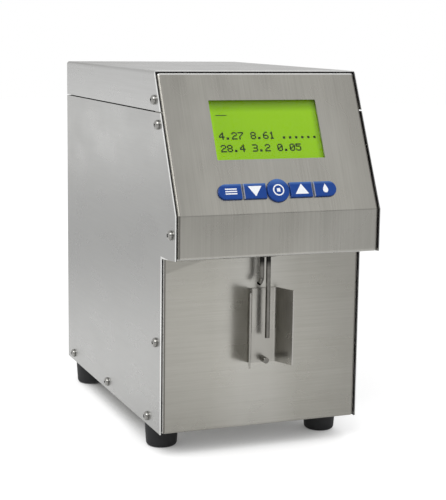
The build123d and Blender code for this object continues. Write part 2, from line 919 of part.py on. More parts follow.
# Five keys, each a cap with a lip behind the panel and a stem in its switch
for name, (middle, rounded) in keys.items():
    with BuildPart() as key:
        with BuildSketch(slope.offset(key_proud)):
            key_outline(name, 0)
        extrude(amount=-(key_proud + lip_front + key_lip))
        fillet(key.faces().sort_by(outwards)[-1].edges(), key_round)
        lip_width = key_height if name != "enter_key" else enter_diameter
        with BuildSketch(slope.offset(-lip_front)):
            with Locations((middle, key_rise)):
                Rectangle(key_lip_length, lip_width + 2 * key_lip_reach)
        extrude(amount=-key_lip)
        with BuildSketch(slope.offset(-lip_front - key_lip)):
            with Locations((middle, key_rise)):
                Circle(stem_radius)
        extrude(amount=-(switch_front - lip_front - key_lip + stem_engaged))
    save(key.part, name)

# Inner frame: upright plate with a foot bent to the rear
pump_plane = Plane(origin=(pump_x, frame_y, bottom + pump_rise), x_dir=(1, 0, 0), z_dir=(0, -1, 0))
cell_plane = Plane(origin=(cell_x, frame_y, bottom + cell_rise), x_dir=(1, 0, 0), z_dir=(0, -1, 0))
track_radius = hose_curve + hose_radius + running_gap
screw_circle = (pump_radius + track_radius) / 2
screw_across = screw_circle * cos(radians(pump_screw_angle))
screw_drop = screw_circle * sin(radians(pump_screw_angle))
screw_rise = pump_shoulder - screw_head_radius - screw_slack
pump_screws_at = [
    (-screw_across, -screw_drop),
    (screw_across, -screw_drop),
    (-screw_circle, screw_rise),
    (screw_circle, screw_rise),
]
with BuildPart() as inner_frame:
    with BuildSketch(Plane.YZ):
        with BuildLine() as angle:
            Polyline(
                (frame_y, floor_z + frame_height),
                (frame_y, floor_z),
                (frame_y + sheet + frame_foot, floor_z),
            )
            fillet(angle.vertices().group_by(Axis.Z)[0].sort_by(Axis.Y)[0], bend)
            offset(amount=sheet, side=Side.LEFT)
        make_face()
    extrude(amount=frame_half, both=True)
    with BuildSketch(Plane.XY.offset(floor_z)):
        with Locations((0, frame_screw_y)):
            with GridLocations(2 * frame_screw_x, 0, 2, 1):
                Circle(screw_hole)
    extrude(amount=sheet, mode=Mode.SUBTRACT)
    with BuildSketch(pump_plane):
        Circle(shaft_radius + screw_slack)
        with Locations(*pump_screws_at):
            Circle(screw_hole)
    extrude(amount=-sheet, mode=Mode.SUBTRACT)
    with BuildSketch(cell_plane):
        with GridLocations(0, cell_screw_spread, 1, 2):
            Circle(screw_hole)
    extrude(amount=-sheet, mode=Mode.SUBTRACT)
save(inner_frame.part, "inner_frame")

# Measuring cell: block with a cross bore, a transducer in each end, two hose nipples on top
cell_y = frame_y - cell_thick / 2
cell_z = bottom + cell_rise
cell_top = cell_z + cell_tall / 2
nipples_at = [(cell_x + side * nipple_spread / 2, cell_y) for side in (-1, 1)]


def cell_end(side):
    """Plane on an end of the measuring cell, facing out."""
    x = cell_x + side * cell_length / 2
    return Plane(origin=(x, cell_y, cell_z), x_dir=(0, 1, 0), z_dir=(side, 0, 0))


with BuildPart() as sensor_cell:
    with BuildSketch(Plane(origin=(cell_x, cell_y, cell_z), x_dir=(0, 1, 0), z_dir=(1, 0, 0))):
        RectangleRounded(cell_thick, cell_tall, cell_round)
        Circle(cell_bore, mode=Mode.SUBTRACT)
    extrude(amount=cell_length / 2, both=True)
    for side in (-1, 1):
        with BuildSketch(cell_end(side)):
            Circle(transducer_radius + running_gap)
        extrude(amount=-transducer_seat, mode=Mode.SUBTRACT)
    with BuildSketch(Plane.XY.offset(cell_top)):
        with Locations(*nipples_at):
            Circle(tube_radius + running_gap)
    extrude(amount=-cell_tall / 2, mode=Mode.SUBTRACT)
    with BuildSketch(cell_plane):
        with GridLocations(0, cell_screw_spread, 1, 2):
            Circle(screw_hole)
    extrude(amount=cell_thick, mode=Mode.SUBTRACT)
save(sensor_cell.part, "sensor_cell")

with BuildPart() as transducers:
    for side in (-1, 1):
        with BuildSketch(cell_end(side)):
            Circle(transducer_radius)
        extrude(amount=-transducer_seat)
        with BuildSketch(cell_end(side)):
            Circle(transducer_cap_radius)
        extrude(amount=transducer_cap)
save(transducers.part, "transducers")

with BuildPart() as cell_nipples:
    with BuildSketch(Plane.XY.offset(cell_top + nipple_height)):
        with Locations(*nipples_at):
            Circle(tube_radius)
            Circle(tube_bore, mode=Mode.SUBTRACT)
    extrude(amount=-(nipple_height + cell_tall / 2 - cell_bore))
save(cell_nipples.part, "cell_nipples")

# Pump head: housing with a U-shaped track for the hose, open at the top and the front
pump_z = bottom + pump_rise
hose_y = frame_y - pump_floor - rotor_disc - roller_length / 2 - 2 * fit_gap
with BuildPart() as pump_housing:
    with BuildSketch(pump_plane):
        Circle(pump_radius)
        Rectangle(2 * pump_radius, pump_shoulder, align=(Align.CENTER, Align.MIN))
    extrude(amount=pump_deep)
    with BuildSketch(pump_plane.offset(pump_floor)):
        Circle(track_radius)
        Rectangle(2 * track_radius, pump_shoulder + overrun, align=(Align.CENTER, Align.MIN))
    extrude(amount=pump_deep, mode=Mode.SUBTRACT)
    with BuildSketch(pump_plane):
        Circle(shaft_radius + screw_slack)
        with Locations(*pump_screws_at):
            Circle(screw_hole)
    extrude(amount=pump_deep, mode=Mode.SUBTRACT)
save(pump_housing.part, "pump_housing")

# Rotor with the roller pins, its front cap, and the shaft of the gear motor
rotor_back = pump_floor + fit_gap
rotor_front = rotor_back + rotor_disc + roller_length + 2 * fit_gap
with BuildPart() as pump_rotor:
    with BuildSketch(pump_plane.offset(rotor_back)):
        Circle(rotor_disc_radius)
    extrude(amount=rotor_disc)
    with BuildSketch(pump_plane.offset(rotor_back + rotor_disc)):
        Circle(rotor_hub_radius)
        with PolarLocations(roller_circle, roller_count, start_angle=first_roller_angle):
            Circle(roller_pin_radius)
    extrude(amount=rotor_front - rotor_back - rotor_disc)
    with BuildSketch(pump_plane.offset(rotor_back)):
        Circle(shaft_radius + running_gap)
    extrude(amount=rotor_front - rotor_back, mode=Mode.SUBTRACT)
save(pump_rotor.part, "pump_rotor")

with BuildPart() as rotor_cap:
    with BuildSketch(pump_plane.offset(rotor_front)):
        Circle(rotor_disc_radius)
        Circle(shaft_radius + running_gap, mode=Mode.SUBTRACT)
    extrude(amount=rotor_disc)
save(rotor_cap.part, "rotor_cap")

with BuildPart() as pump_shaft:
    with BuildSketch(pump_plane.offset(rotor_front + rotor_disc)):
        Circle(shaft_radius)
    extrude(amount=-(rotor_front + rotor_disc + sheet + shaft_engaged))
save(pump_shaft.part, "pump_shaft")

roller_places = PolarLocations(roller_circle, roller_count, start_angle=first_roller_angle).local_locations
for number, place in enumerate(roller_places, 1):
    with BuildPart() as roller:
        with BuildSketch(pump_plane.offset(rotor_back + rotor_disc + fit_gap)):
            with Locations(place):
                Circle(roller_radius)
                Circle(roller_pin_radius + running_gap, mode=Mode.SUBTRACT)
        extrude(amount=roller_length)
    save(roller.part, f"pump_roller_{number}")

with BuildPart() as pump_motor:
    with BuildSketch(pump_plane.offset(-sheet)):
        Circle(gearbox_radius)
    extrude(amount=-gearbox_length)
    with BuildSketch(pump_plane.offset(-sheet - gearbox_length)):
        Circle(motor_radius)
    extrude(amount=-motor_length)
    chamfer(pump_motor.faces().sort_by(Axis.Y)[-1].edges(), motor_chamfer)
    with BuildSketch(pump_plane.offset(-sheet - gearbox_length - motor_length)):
        Circle(motor_boss_radius)
    extrude(amount=-motor_boss)
    with BuildSketch(pump_plane.offset(-sheet)):
        Circle(shaft_radius + running_gap)
        with Locations(*pump_screws_at[:2]):
            Circle(screw_hole)
    extrude(amount=-shaft_engaged - fit_gap, mode=Mode.SUBTRACT)
save(pump_motor.part, "pump_motor")

# Screws that hold the cell and the pump head on the frame
cell_holes = [(0, side * cell_screw_spread / 2) for side in (-1, 1)]
cell_screws = pan_screws(cell_plane.offset(cell_thick), cell_holes, cell_thick + 2 * sheet)
head_screws = pan_screws(pump_plane.offset(pump_deep), pump_screws_at, pump_deep + 2 * sheet)
with BuildPart() as frame_screws:
    add(cell_screws)
    add(head_screws)
save(frame_screws.part, "frame_screws")

# Hoses: straight runs joined by arcs, pushed over the steel tubes and nipples
intake_corner = tube_top + intake_hose_rise
nipple_top = cell_top + nipple_height
with BuildPart() as intake_hose:
    with BuildLine():
        FilletPolyline(
            (intake_side, tube_y, tube_top - hose_grip),
            (intake_side, tube_y, intake_corner),
            (nipples_at[0][0], cell_y, intake_corner),
            (nipples_at[0][0], cell_y, nipple_top - hose_grip),
            radius=hose_turn,
        )
    with BuildSketch(Plane.XY.offset(tube_top - hose_grip)):
        with Locations(tubes_at[0]):
            Circle(hose_radius)
            Circle(hose_bore, mode=Mode.SUBTRACT)
    sweep()
save(intake_hose.part, "intake_hose")

leg_in = pump_x - hose_curve
leg_out = pump_x + hose_curve
feed_corner = nipple_top + feed_hose_rise
return_corner = tube_top + return_hose_rise
with BuildPart() as pump_hose:
    with BuildLine():
        FilletPolyline(
            (nipples_at[1][0], cell_y, nipple_top - hose_grip),
            (nipples_at[1][0], cell_y, feed_corner),
            (leg_in, hose_y, feed_corner),
            (leg_in, hose_y, pump_z),
            radius=hose_turn,
        )
        ThreePointArc(
            (leg_in, hose_y, pump_z),
            (pump_x, hose_y, pump_z - hose_curve),
            (leg_out, hose_y, pump_z),
        )
        FilletPolyline(
            (leg_out, hose_y, pump_z),
            (leg_out, hose_y, return_corner),
            (return_swing_side, front + return_swing_setback, return_corner),
            (outlet_side, tube_y, return_corner),
            (outlet_side, tube_y, tube_top - hose_grip),
            radius=return_hose_turn,
        )
    with BuildSketch(Plane.XY.offset(nipple_top - hose_grip)):
        with Locations(nipples_at[1]):
            Circle(hose_radius)
            Circle(hose_bore, mode=Mode.SUBTRACT)
    sweep()
save(pump_hose.part, "pump_hose")

# Chassis shelf: a bridge folded from one sheet, standing on the base
shelf_z = floor_z + shelf_rise
with BuildPart() as chassis_shelf:
    with BuildSketch(Plane(origin=(0, shelf_front, 0), x_dir=(-1, 0, 0), z_dir=(0, 1, 0))):
        with BuildLine() as bridge:
            Polyline(
                (-shelf_half + shelf_foot + sheet, floor_z + sheet),
                (-shelf_half + sheet, floor_z + sheet),
                (-shelf_half + sheet, shelf_z - sheet),
                (shelf_half - sheet, shelf_z - sheet),
                (shelf_half - sheet, floor_z + sheet),
                (shelf_half - shelf_foot - sheet, floor_z + sheet),
            )
            offset(amount=sheet, side=Side.LEFT)
        make_face()
    extrude(amount=shelf_length)
    with BuildSketch(Plane.XY.offset(floor_z)):
        with Locations((0, shelf_mid)):
            with GridLocations(2 * shelf_foot_x, 2 * shelf_screw_y, 2, 2):
                Circle(screw_hole)
            with GridLocations(2 * board_hole_x, 2 * board_hole_y, 2, 2):
                Circle(screw_hole)
    extrude(amount=shelf_rise, mode=Mode.SUBTRACT)
save(chassis_shelf.part, "chassis_shelf")

base_holes = [(side * frame_screw_x, frame_screw_y) for side in (-1, 1)] + [
    (side * shelf_foot_x, shelf_mid + end * shelf_screw_y) for side in (-1, 1) for end in (-1, 1)
]
base_screws = pan_screws(belly, [(x, -y) for x, y in base_holes], screw_length)
save(base_screws, "base_screws")

# Ring transformer, held by a dished washer and a bolt
with BuildPart() as transformer:
    with BuildSketch(Plane.XY.offset(floor_z)):
        with Locations((ring_side, ring_y)):
            Circle(ring_radius)
            Circle(ring_bore, mode=Mode.SUBTRACT)
    extrude(amount=ring_height)
    rims = transformer.edges().filter_by(GeomType.CIRCLE)
    fillet(rims.filter_by(lambda edge: edge.radius > ring_bore), ring_round)
save(transformer.part, "transformer")

ring_top = floor_z + ring_height
with BuildPart() as transformer_bolt:
    with BuildSketch(Plane.XY.offset(ring_top)):
        with Locations((ring_side, ring_y)):
            Circle(washer_radius)
            Circle(bolt_radius + running_gap, mode=Mode.SUBTRACT)
    extrude(amount=washer_thickness)
    with BuildSketch(Plane.XY.offset(ring_top + washer_thickness)):
        with Locations((ring_side, ring_y)):
            RegularPolygon(bolt_head_across / 2, 6, major_radius=False)
    extrude(amount=bolt_head)
    with BuildSketch(Plane.XY.offset(ring_top + washer_thickness)):
        with Locations((ring_side, ring_y)):
            Circle(bolt_radius)
    extrude(amount=-(ring_top + washer_thickness - bottom))
    with BuildSketch(Plane.XY.offset(bottom)):
        with Locations((ring_side, ring_y)):
            RegularPolygon(bolt_head_across / 2, 6, major_radius=False)
    extrude(amount=-bolt_head)
save(transformer_bolt.part, "transformer_bolt")

# Main board with its spacers, chips, capacitors, heat sink and ribbon cable
board_z = shelf_z + board_spacer
with BuildPart() as main_board:
    with BuildSketch(Plane.XY.offset(board_z)):
        with Locations((0, shelf_mid)):
            Rectangle(board_width, board_depth)
            with GridLocations(2 * board_hole_x, 2 * board_hole_y, 2, 2):
                Circle(screw_hole, mode=Mode.SUBTRACT)
    extrude(amount=board_thickness)
save(main_board.part, "main_board")

with BuildPart() as board_spacers:
    with BuildSketch(Plane.XY.offset(shelf_z)):
        with Locations((0, shelf_mid)):
            with GridLocations(2 * board_hole_x, 2 * board_hole_y, 2, 2):
                RegularPolygon(board_spacer_across / 2, 6, major_radius=False)
                Circle(screw_hole, mode=Mode.SUBTRACT)
    extrude(amount=board_spacer)
save(board_spacers.part, "board_spacers")

board_top = board_z + board_thickness
header_y = shelf_mid - board_depth / 2 + header_depth
with BuildPart() as board_chips:
    with BuildSketch(Plane.XY.offset(board_top)):
        with Locations((-square_chip / 2, shelf_mid)):
            Rectangle(square_chip, square_chip)
        with Locations((square_chip, shelf_mid)):
            with GridLocations(0, long_chip_spacing, 1, 2):
                Rectangle(long_chip_length, long_chip_width)
    extrude(amount=chip_height)
    with BuildSketch(Plane.XY.offset(board_top)):
        with Locations((ribbon_side, header_y)):
            Rectangle(header_width, header_depth)
    extrude(amount=header_height)
save(board_chips.part, "board_chips")

with BuildPart() as board_capacitors:
    with BuildSketch(Plane.XY.offset(board_top)):
        with Locations((-board_width / 2 + capacitor_spacing, shelf_mid + capacitor_spacing)):
            with GridLocations(0, capacitor_spacing, 1, capacitor_count):
                Circle(capacitor_radius)
    extrude(amount=capacitor_height)
    chamfer(board_capacitors.faces().sort_by(Axis.Z)[-capacitor_count:].edges(), capacitor_chamfer)
save(board_capacitors.part, "board_capacitors")

with BuildPart() as heat_sink:
    sink_at = (-board_width / 4, shelf_mid - board_depth / 2 + sink_depth)
    with BuildSketch(Plane.XY.offset(board_top)):
        with Locations(sink_at):
            Rectangle(sink_width, sink_base, align=(Align.CENTER, Align.MAX))
            with GridLocations((sink_width - sink_fin) / (sink_fins - 1), 0, sink_fins, 1):
                Rectangle(sink_fin, sink_depth - sink_base, align=(Align.CENTER, Align.MIN))
    extrude(amount=sink_height)
save(heat_sink.part, "heat_sink")

# Ribbon cable, folded flat between the back of the display board and the main board's header
ribbon_start = slope.offset(-board_back).from_local_coords((0, window_rise + ribbon_rise, 0))
ribbon_step = ribbon_start - ribbon_stand * slope.z_dir
with BuildPart() as ribbon_cable:
    with BuildSketch(Plane.YZ.offset(ribbon_side)):
        with BuildLine():
            FilletPolyline(
                (ribbon_start.Y, ribbon_start.Z),
                (ribbon_step.Y, ribbon_step.Z),
                (front + ribbon_crest_setback, bottom + ribbon_crest),
                (header_y, board_top + header_height + ribbon_drop),
                (header_y, board_top + header_height),
                radius=ribbon_turn,
            )
            offset(amount=ribbon_thickness, side=Side.RIGHT)
        make_face()
    extrude(amount=ribbon_width / 2, both=True)
save(ribbon_cable.part, "ribbon_cable")

# Power inlet: flange, body behind the wall, mouth with two cut corners, three blades
mouth_floor = inlet_face.offset(-inlet_mouth)
blades_at = [(-pin_spread / 2, -pin_offset), (0, pin_offset), (pin_spread / 2, -pin_offset)]
with BuildPart() as power_inlet:
    with BuildSketch(inlet_face):
        RectangleRounded(inlet_flange_width, inlet_flange_height, inlet_round)
        with Locations(*inlet_holes):
            Circle(screw_hole, mode=Mode.SUBTRACT)
    extrude(amount=-inlet_flange)
    with BuildSketch(back(inlet_side, inlet_z)):
        Rectangle(inlet_body_width, inlet_body_height)
    extrude(amount=-inlet_body)
    with BuildSketch(inlet_face) as mouth:
        Rectangle(inlet_mouth_width, inlet_mouth_height)
        chamfer(mouth.vertices().group_by(Axis.Z)[-1], inlet_mouth_chamfer)
    extrude(amount=-inlet_mouth, mode=Mode.SUBTRACT)
    with BuildSketch(mouth_floor):
        with Locations(*blades_at):
            Rectangle(pin_width + 2 * running_gap, pin_height + 2 * running_gap)
    extrude(amount=-inlet_body, mode=Mode.SUBTRACT)
save(power_inlet.part, "power_inlet")

with BuildPart() as inlet_pins:
    with BuildSketch(back(inlet_side, inlet_z).offset(-inlet_body - pin_tail)):
        with Locations(*blades_at):
            Rectangle(pin_width, pin_height)
    extrude(amount=inlet_body + pin_tail + inlet_flange - inlet_mouth + pin_reach)
save(inlet_pins.part, "inlet_pins")

# Rocker switch: bezel and body with a well, and the rocker on its trunnions
rocker_face = back(rocker_side, rocker_z)
well_half = rocker_radius + fit_gap
pivot_y = rear + rocker_pivot
with BuildPart() as rocker_switch:
    with BuildSketch(rocker_face):
        RectangleRounded(rocker_bezel_width, rocker_bezel_height, rocker_bezel_round)
    extrude(amount=rocker_bezel)
    with BuildSketch(rocker_face):
        Rectangle(rocker_body_width, rocker_body_height)
    extrude(amount=-rocker_body)
    with BuildSketch(rocker_face.offset(rocker_bezel)):
        Rectangle(rocker_width + 2 * fit_gap, 2 * well_half)
    extrude(amount=-(rocker_bezel + well_half), mode=Mode.SUBTRACT)
    with BuildSketch(Plane(origin=(rocker_side, pivot_y, rocker_z), x_dir=(0, 1, 0), z_dir=(1, 0, 0))):
        Circle(trunnion_radius + running_gap)
    extrude(amount=rocker_width / 2 + trunnion_length + fit_gap, both=True, mode=Mode.SUBTRACT)
save(rocker_switch.part, "rocker_switch")

with BuildPart() as rocker:
    tilt = radians(rocker_tilt)
    level = Plane(origin=(rocker_side, pivot_y, rocker_z), x_dir=(0, cos(tilt), sin(tilt)), z_dir=(1, 0, 0))
    end_reach = rocker_radius * sin(radians(rocker_end_angle))
    end_half = rocker_radius * cos(radians(rocker_end_angle))
    with BuildSketch(level):
        with BuildLine():
            Polyline(
                (rocker_ridge, 0),
                (end_reach, end_half),
                (-rocker_heel_depth, rocker_heel),
                (-rocker_heel_depth, -rocker_heel),
                (end_reach, -end_half),
                close=True,
            )
        make_face()
    extrude(amount=rocker_width / 2, both=True)
    with BuildSketch(level):
        Circle(trunnion_radius)
    extrude(amount=rocker_width / 2 + trunnion_length, both=True)
save(rocker.part, "rocker")

# Serial ports: flange behind the wall, shell with its contact holes, body on the main board, jack screws
with BuildPart() as serial_ports:
    for x in ports_at:
        face = back(x, port_z)
        with BuildSketch(face.offset(-sheet)):
            RectangleRounded(port_flange_width, port_flange_height, port_flange_round)
            with GridLocations(jack_spread, 0, 2, 1):
                Circle(jack_stud + running_gap, mode=Mode.SUBTRACT)
        extrude(amount=-port_flange)
        with BuildSketch(face.offset(-sheet)) as shell:
            with BuildLine():
                Polyline(
                    (-port_width / 2, port_height / 2),
                    (port_width / 2, port_height / 2),
                    (port_width / 2 - port_taper, -port_height / 2),
                    (-port_width / 2 + port_taper, -port_height / 2),
                    close=True,
                )
            make_face()
            fillet(shell.vertices(), port_round)
        extrude(amount=sheet + port_shell)
        with BuildSketch(face.offset(-sheet - port_flange)):
            Rectangle(port_body_width, port_body_height)
        extrude(amount=-port_body)
        with BuildSketch(face.offset(port_shell)):
            with Locations((0, contact_row / 2)):
                with GridLocations(contact_spacing, 0, contact_count, 1):
                    Circle(contact_radius)
            with Locations((0, -contact_row / 2)):
                with GridLocations(contact_spacing, 0, contact_count - 1, 1):
                    Circle(contact_radius)
        extrude(amount=-contact_depth, mode=Mode.SUBTRACT)
save(serial_ports.part, "serial_ports")

with BuildPart() as jack_screws:
    for x in ports_at:
        with BuildSketch(back(x, port_z)):
            with GridLocations(jack_spread, 0, 2, 1):
                RegularPolygon(jack_across / 2, 6, major_radius=False)
        extrude(amount=jack_length)
        with BuildSketch(back(x, port_z)):
            with GridLocations(jack_spread, 0, 2, 1):
                Circle(jack_stud)
        extrude(amount=-sheet - port_flange - jack_length)
        with BuildSketch(back(x, port_z).offset(jack_length)):
            with GridLocations(jack_spread, 0, 2, 1):
                Circle(jack_bore)
        extrude(amount=-jack_thread, mode=Mode.SUBTRACT)
save(jack_screws.part, "jack_screws")
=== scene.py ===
import json
from math import cos, pi, radians, sin

import bmesh
import bpy
from mathutils import Matrix, Vector


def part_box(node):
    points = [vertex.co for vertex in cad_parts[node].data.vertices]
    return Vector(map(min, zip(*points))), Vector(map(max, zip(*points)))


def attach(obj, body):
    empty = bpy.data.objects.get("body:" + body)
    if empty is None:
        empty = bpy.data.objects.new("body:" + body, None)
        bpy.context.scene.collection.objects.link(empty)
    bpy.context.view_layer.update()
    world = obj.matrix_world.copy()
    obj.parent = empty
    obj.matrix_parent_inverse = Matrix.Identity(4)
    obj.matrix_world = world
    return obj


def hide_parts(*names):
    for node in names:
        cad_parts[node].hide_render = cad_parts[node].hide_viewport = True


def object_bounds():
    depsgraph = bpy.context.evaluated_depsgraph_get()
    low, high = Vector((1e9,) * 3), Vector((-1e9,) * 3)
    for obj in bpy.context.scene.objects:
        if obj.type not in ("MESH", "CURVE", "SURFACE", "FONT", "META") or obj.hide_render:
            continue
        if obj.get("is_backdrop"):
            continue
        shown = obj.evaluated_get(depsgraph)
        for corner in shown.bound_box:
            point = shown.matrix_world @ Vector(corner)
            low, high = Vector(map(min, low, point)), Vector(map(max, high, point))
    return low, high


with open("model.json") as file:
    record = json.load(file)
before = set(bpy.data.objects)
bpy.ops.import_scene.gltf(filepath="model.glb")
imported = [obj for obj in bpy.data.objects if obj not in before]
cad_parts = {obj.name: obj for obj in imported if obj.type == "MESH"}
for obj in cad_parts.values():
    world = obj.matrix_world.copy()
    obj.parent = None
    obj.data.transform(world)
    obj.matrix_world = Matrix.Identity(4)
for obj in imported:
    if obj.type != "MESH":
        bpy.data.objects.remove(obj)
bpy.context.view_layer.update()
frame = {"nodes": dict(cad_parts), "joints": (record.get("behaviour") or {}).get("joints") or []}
nodes = frame["nodes"]
scene = bpy.context.scene
scene.view_settings.view_transform = "Standard"

# Viewpoint: a long lens on the left of the machine, a little above it. It is placed from the
# lower front corner of the base, which the photograph's lines were solved against.
base_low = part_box("base_tray")[0]
picture_height = 500
lens_in_pixels = 1340.4
camera_data = bpy.data.cameras.new("photograph")
camera_data.sensor_width = 36.0
camera_data.lens = lens_in_pixels * camera_data.sensor_width / picture_height
camera_data.clip_start = 0.05
camera = bpy.data.objects.new("photograph", camera_data)
scene.collection.objects.link(camera)
right = Vector((0.93044, -0.36620, 0.01320))
ahead = Vector((0.36328, 0.91712, -0.16408))
up = Vector((0.04798, 0.15746, 0.98636))
tripod = Vector((-0.3295, base_low.y - 0.7627, base_low.z + 0.2516))
camera.matrix_world = Matrix([(right[i], up[i], -ahead[i], tripod[i]) for i in range(3)]
                             + [(0, 0, 0, 1)])
scene.camera = camera


# Studio: a white table in a bright room whose front end is dim, and one broad lamp high on the
# left. The dim end is what the display front mirrors, and the lamp gives screws their highlights.
def colour(code):
    """An sRGB hex colour as linear values."""
    shares = [int(code[i:i + 2], 16) / 255 for i in (1, 3, 5)]
    return [v / 12.92 if v <= 0.04045 else ((v + 0.055) / 1.055) ** 2.4 for v in shares] + [1]


def add(tree, kind, inputs=None, **settings):
    """Adds a node with its settings; an input that is given a socket is linked to it.

    A Mix node takes its two colours at 6 and 7, and gives the mixed one at 2.
    """
    made = tree.nodes.new(kind)
    for name, value in settings.items():
        setattr(made, name, value)
    for name, value in (inputs or {}).items():
        if isinstance(value, bpy.types.NodeSocket):
            tree.links.new(value, made.inputs[name])
        else:
            made.inputs[name].default_value = value
    return made


def seen_level(tree, seen, mirrored, other):
    """One level for camera and transmitted rays, one for gloss rays and one for all other rays."""
    path = add(tree, "ShaderNodeLightPath")
    clear = add(tree, "ShaderNodeMath", {0: path.outputs["Is Camera Ray"],
                                         1: path.outputs["Is Transmission Ray"]}, operation="MAXIMUM")
    unseen = add(tree, "ShaderNodeMix", {"Factor": path.outputs["Is Glossy Ray"], "A": other,
                                         "B": mirrored}, data_type="FLOAT")
    return add(tree, "ShaderNodeMix", {"Factor": clear.outputs[0], "A": unseen.outputs[0], "B": seen},
               data_type="FLOAT").outputs[0]


# the room: levels by direction, dim low in front and again overhead, even at the rear
world = bpy.data.worlds.new("studio")
world.use_nodes = True
scene.world = world
sky = world.node_tree
sky.nodes.clear()
low_front_level = 0.46
high_front_level = 0.94
overhead_share = 0.70
rear_level = 0.80
soft_level = 0.70
look = add(sky, "ShaderNodeSeparateXYZ", {0: add(sky, "ShaderNodeTexCoord").outputs["Generated"]})
front_end = add(sky, "ShaderNodeMapRange", {
    "Value": look.outputs["Z"], "From Min": 0.20, "From Max": 0.56,
    "To Min": low_front_level, "To Max": high_front_level}, interpolation_type="SMOOTHSTEP")
overhead = add(sky, "ShaderNodeMapRange", {
    "Value": look.outputs["Z"], "From Min": 0.60, "From Max": 0.82,
    "To Min": 1.0, "To Max": overhead_share}, interpolation_type="SMOOTHSTEP")
front_level = add(sky, "ShaderNodeMath", {0: front_end.outputs[0], 1: overhead.outputs[0]},
                  operation="MULTIPLY")
towards_rear = add(sky, "ShaderNodeMapRange", {"Value": look.outputs["Y"], "From Min": -0.60,
                                               "From Max": 0.20}, interpolation_type="SMOOTHSTEP")
room = add(sky, "ShaderNodeMix", {"Factor": towards_rear.outputs[0], "A": front_level.outputs[0],
                                  "B": rear_level}, data_type="FLOAT")
air = add(sky, "ShaderNodeBackground", {"Color": colour("#FFFFFF"),
                                        "Strength": seen_level(sky, 1.0, room.outputs[0], soft_level)})
add(sky, "ShaderNodeOutputWorld", {"Surface": air.outputs[0]})

lamp_data = bpy.data.lights.new("left_lamp", "AREA")
lamp_data.shape = "RECTANGLE"
lamp_data.size = 0.9
lamp_data.size_y = 0.7
lamp_data.energy = 10
lamp = bpy.data.objects.new("left_lamp", lamp_data)
scene.collection.objects.link(lamp)
lamp.location = (-0.75, -0.85, 1.25)
lamp_aim = Vector((0, 0, 0.1))
lamp.rotation_euler = (lamp_aim - lamp.location).to_track_quat("-Z", "Y").to_euler()

table_radius = 4.0
table = bmesh.new()
bmesh.ops.create_circle(table, cap_ends=True, radius=table_radius, segments=64)
table_mesh = bpy.data.meshes.new("table")
table.to_mesh(table_mesh)
table_top = bpy.data.objects.new("table", table_mesh)
scene.collection.objects.link(table_top)

# the table's laminate: to the eye it is white with a soft grey shadow round the machine
white_table = bpy.data.materials.new("matt white laminate")
white_table.use_nodes = True
cover = white_table.node_tree
cover.nodes.clear()
laminate = add(cover, "ShaderNodeMix", {"Factor": seen_level(cover, 1.0, 0.0, 0.0), 6: colour("#E7E7E7"),
                                        7: colour("#C4C4C4")}, data_type="RGBA")
matt = add(cover, "ShaderNodeBsdfDiffuse", {"Color": laminate.outputs[2]})
on_table = add(cover, "ShaderNodeTexCoord").outputs["Object"]
table_axes = add(cover, "ShaderNodeSeparateXYZ", {0: on_table})

# what the sheets mirror of it, a glow painted on it for gloss rays: bright close by and far off
# behind the front, dim between, and a painted pale pool of light in front of the machine that fades
# out half a metre from its middle
from_machine = add(cover, "ShaderNodeVectorMath", {0: on_table}, operation="LENGTH")
close_by = add(cover, "ShaderNodeMapRange", {
    "Value": from_machine.outputs["Value"], "From Min": 0.20, "From Max": 0.75,
    "To Min": 0.30, "To Max": 0.02}, interpolation_type="SMOOTHSTEP")
far_off = add(cover, "ShaderNodeMapRange", {
    "Value": from_machine.outputs["Value"], "From Min": 0.90, "From Max": 2.60,
    "To Min": 0.0, "To Max": 0.64}, interpolation_type="SMOOTHSTEP")
behind = add(cover, "ShaderNodeMapRange", {"Value": table_axes.outputs["Y"], "From Min": -0.15,
                                           "From Max": 0.05})
sheen = add(cover, "ShaderNodeMath", {0: close_by.outputs[0], 1: far_off.outputs[0]}, operation="ADD")
glint = add(cover, "ShaderNodeMath", {0: sheen.outputs[0], 1: behind.outputs[0]}, operation="MULTIPLY")
pool = add(cover, "ShaderNodeMapping", {
    "Vector": on_table, "Location": (0.09, -0.56, 0), "Rotation": (0, 0, radians(17)),
    "Scale": (0.20, 0.50, 1)}, vector_type="TEXTURE")
from_pool = add(cover, "ShaderNodeVectorMath", {0: pool.outputs[0]}, operation="LENGTH")
pool_level = add(cover, "ShaderNodeMapRange", {
    "Value": from_pool.outputs["Value"], "From Min": 1.0, "From Max": 0.2,
    "To Min": 0.0, "To Max": 0.47}, interpolation_type="SMOOTHSTEP")
mirrored_level = add(cover, "ShaderNodeMath", {0: glint.outputs[0], 1: pool_level.outputs[0]},
                     operation="ADD")

# what the eye sees of it: white, with a painted shadow where the machine hides the sky, and darker
# under its front
open_sky = add(cover, "ShaderNodeAmbientOcclusion", {"Distance": 0.07}, samples=8)
beside_walls = add(cover, "ShaderNodeMapRange", {
    "Value": open_sky.outputs["AO"], "From Min": 0.08, "From Max": 0.54,
    "To Min": 0.0, "To Max": 0.66}, interpolation_type="SMOOTHSTEP")
before_front = add(cover, "ShaderNodeMapRange", {
    "Value": open_sky.outputs["AO"], "From Min": 0.0, "From Max": 0.70, "To Min": 0.11, "To Max": 0.70})
in_front = add(cover, "ShaderNodeMapRange", {"Value": table_axes.outputs["Y"], "From Min": -0.010,
                                             "From Max": -0.045})
past_side = add(cover, "ShaderNodeMapRange", {"Value": table_axes.outputs["X"], "From Min": -0.085,
                                              "From Max": -0.055})
at_front = add(cover, "ShaderNodeMath", {0: in_front.outputs[0], 1: past_side.outputs[0]},
               operation="MULTIPLY")
glow_with_painted_shadow = add(cover, "ShaderNodeMix", {"Factor": at_front.outputs[0], "A": beside_walls.outputs[0],
                                        "B": before_front.outputs[0]}, data_type="FLOAT")
glow_level = seen_level(cover, glow_with_painted_shadow.outputs[0], mirrored_level.outputs[0], 0.0)
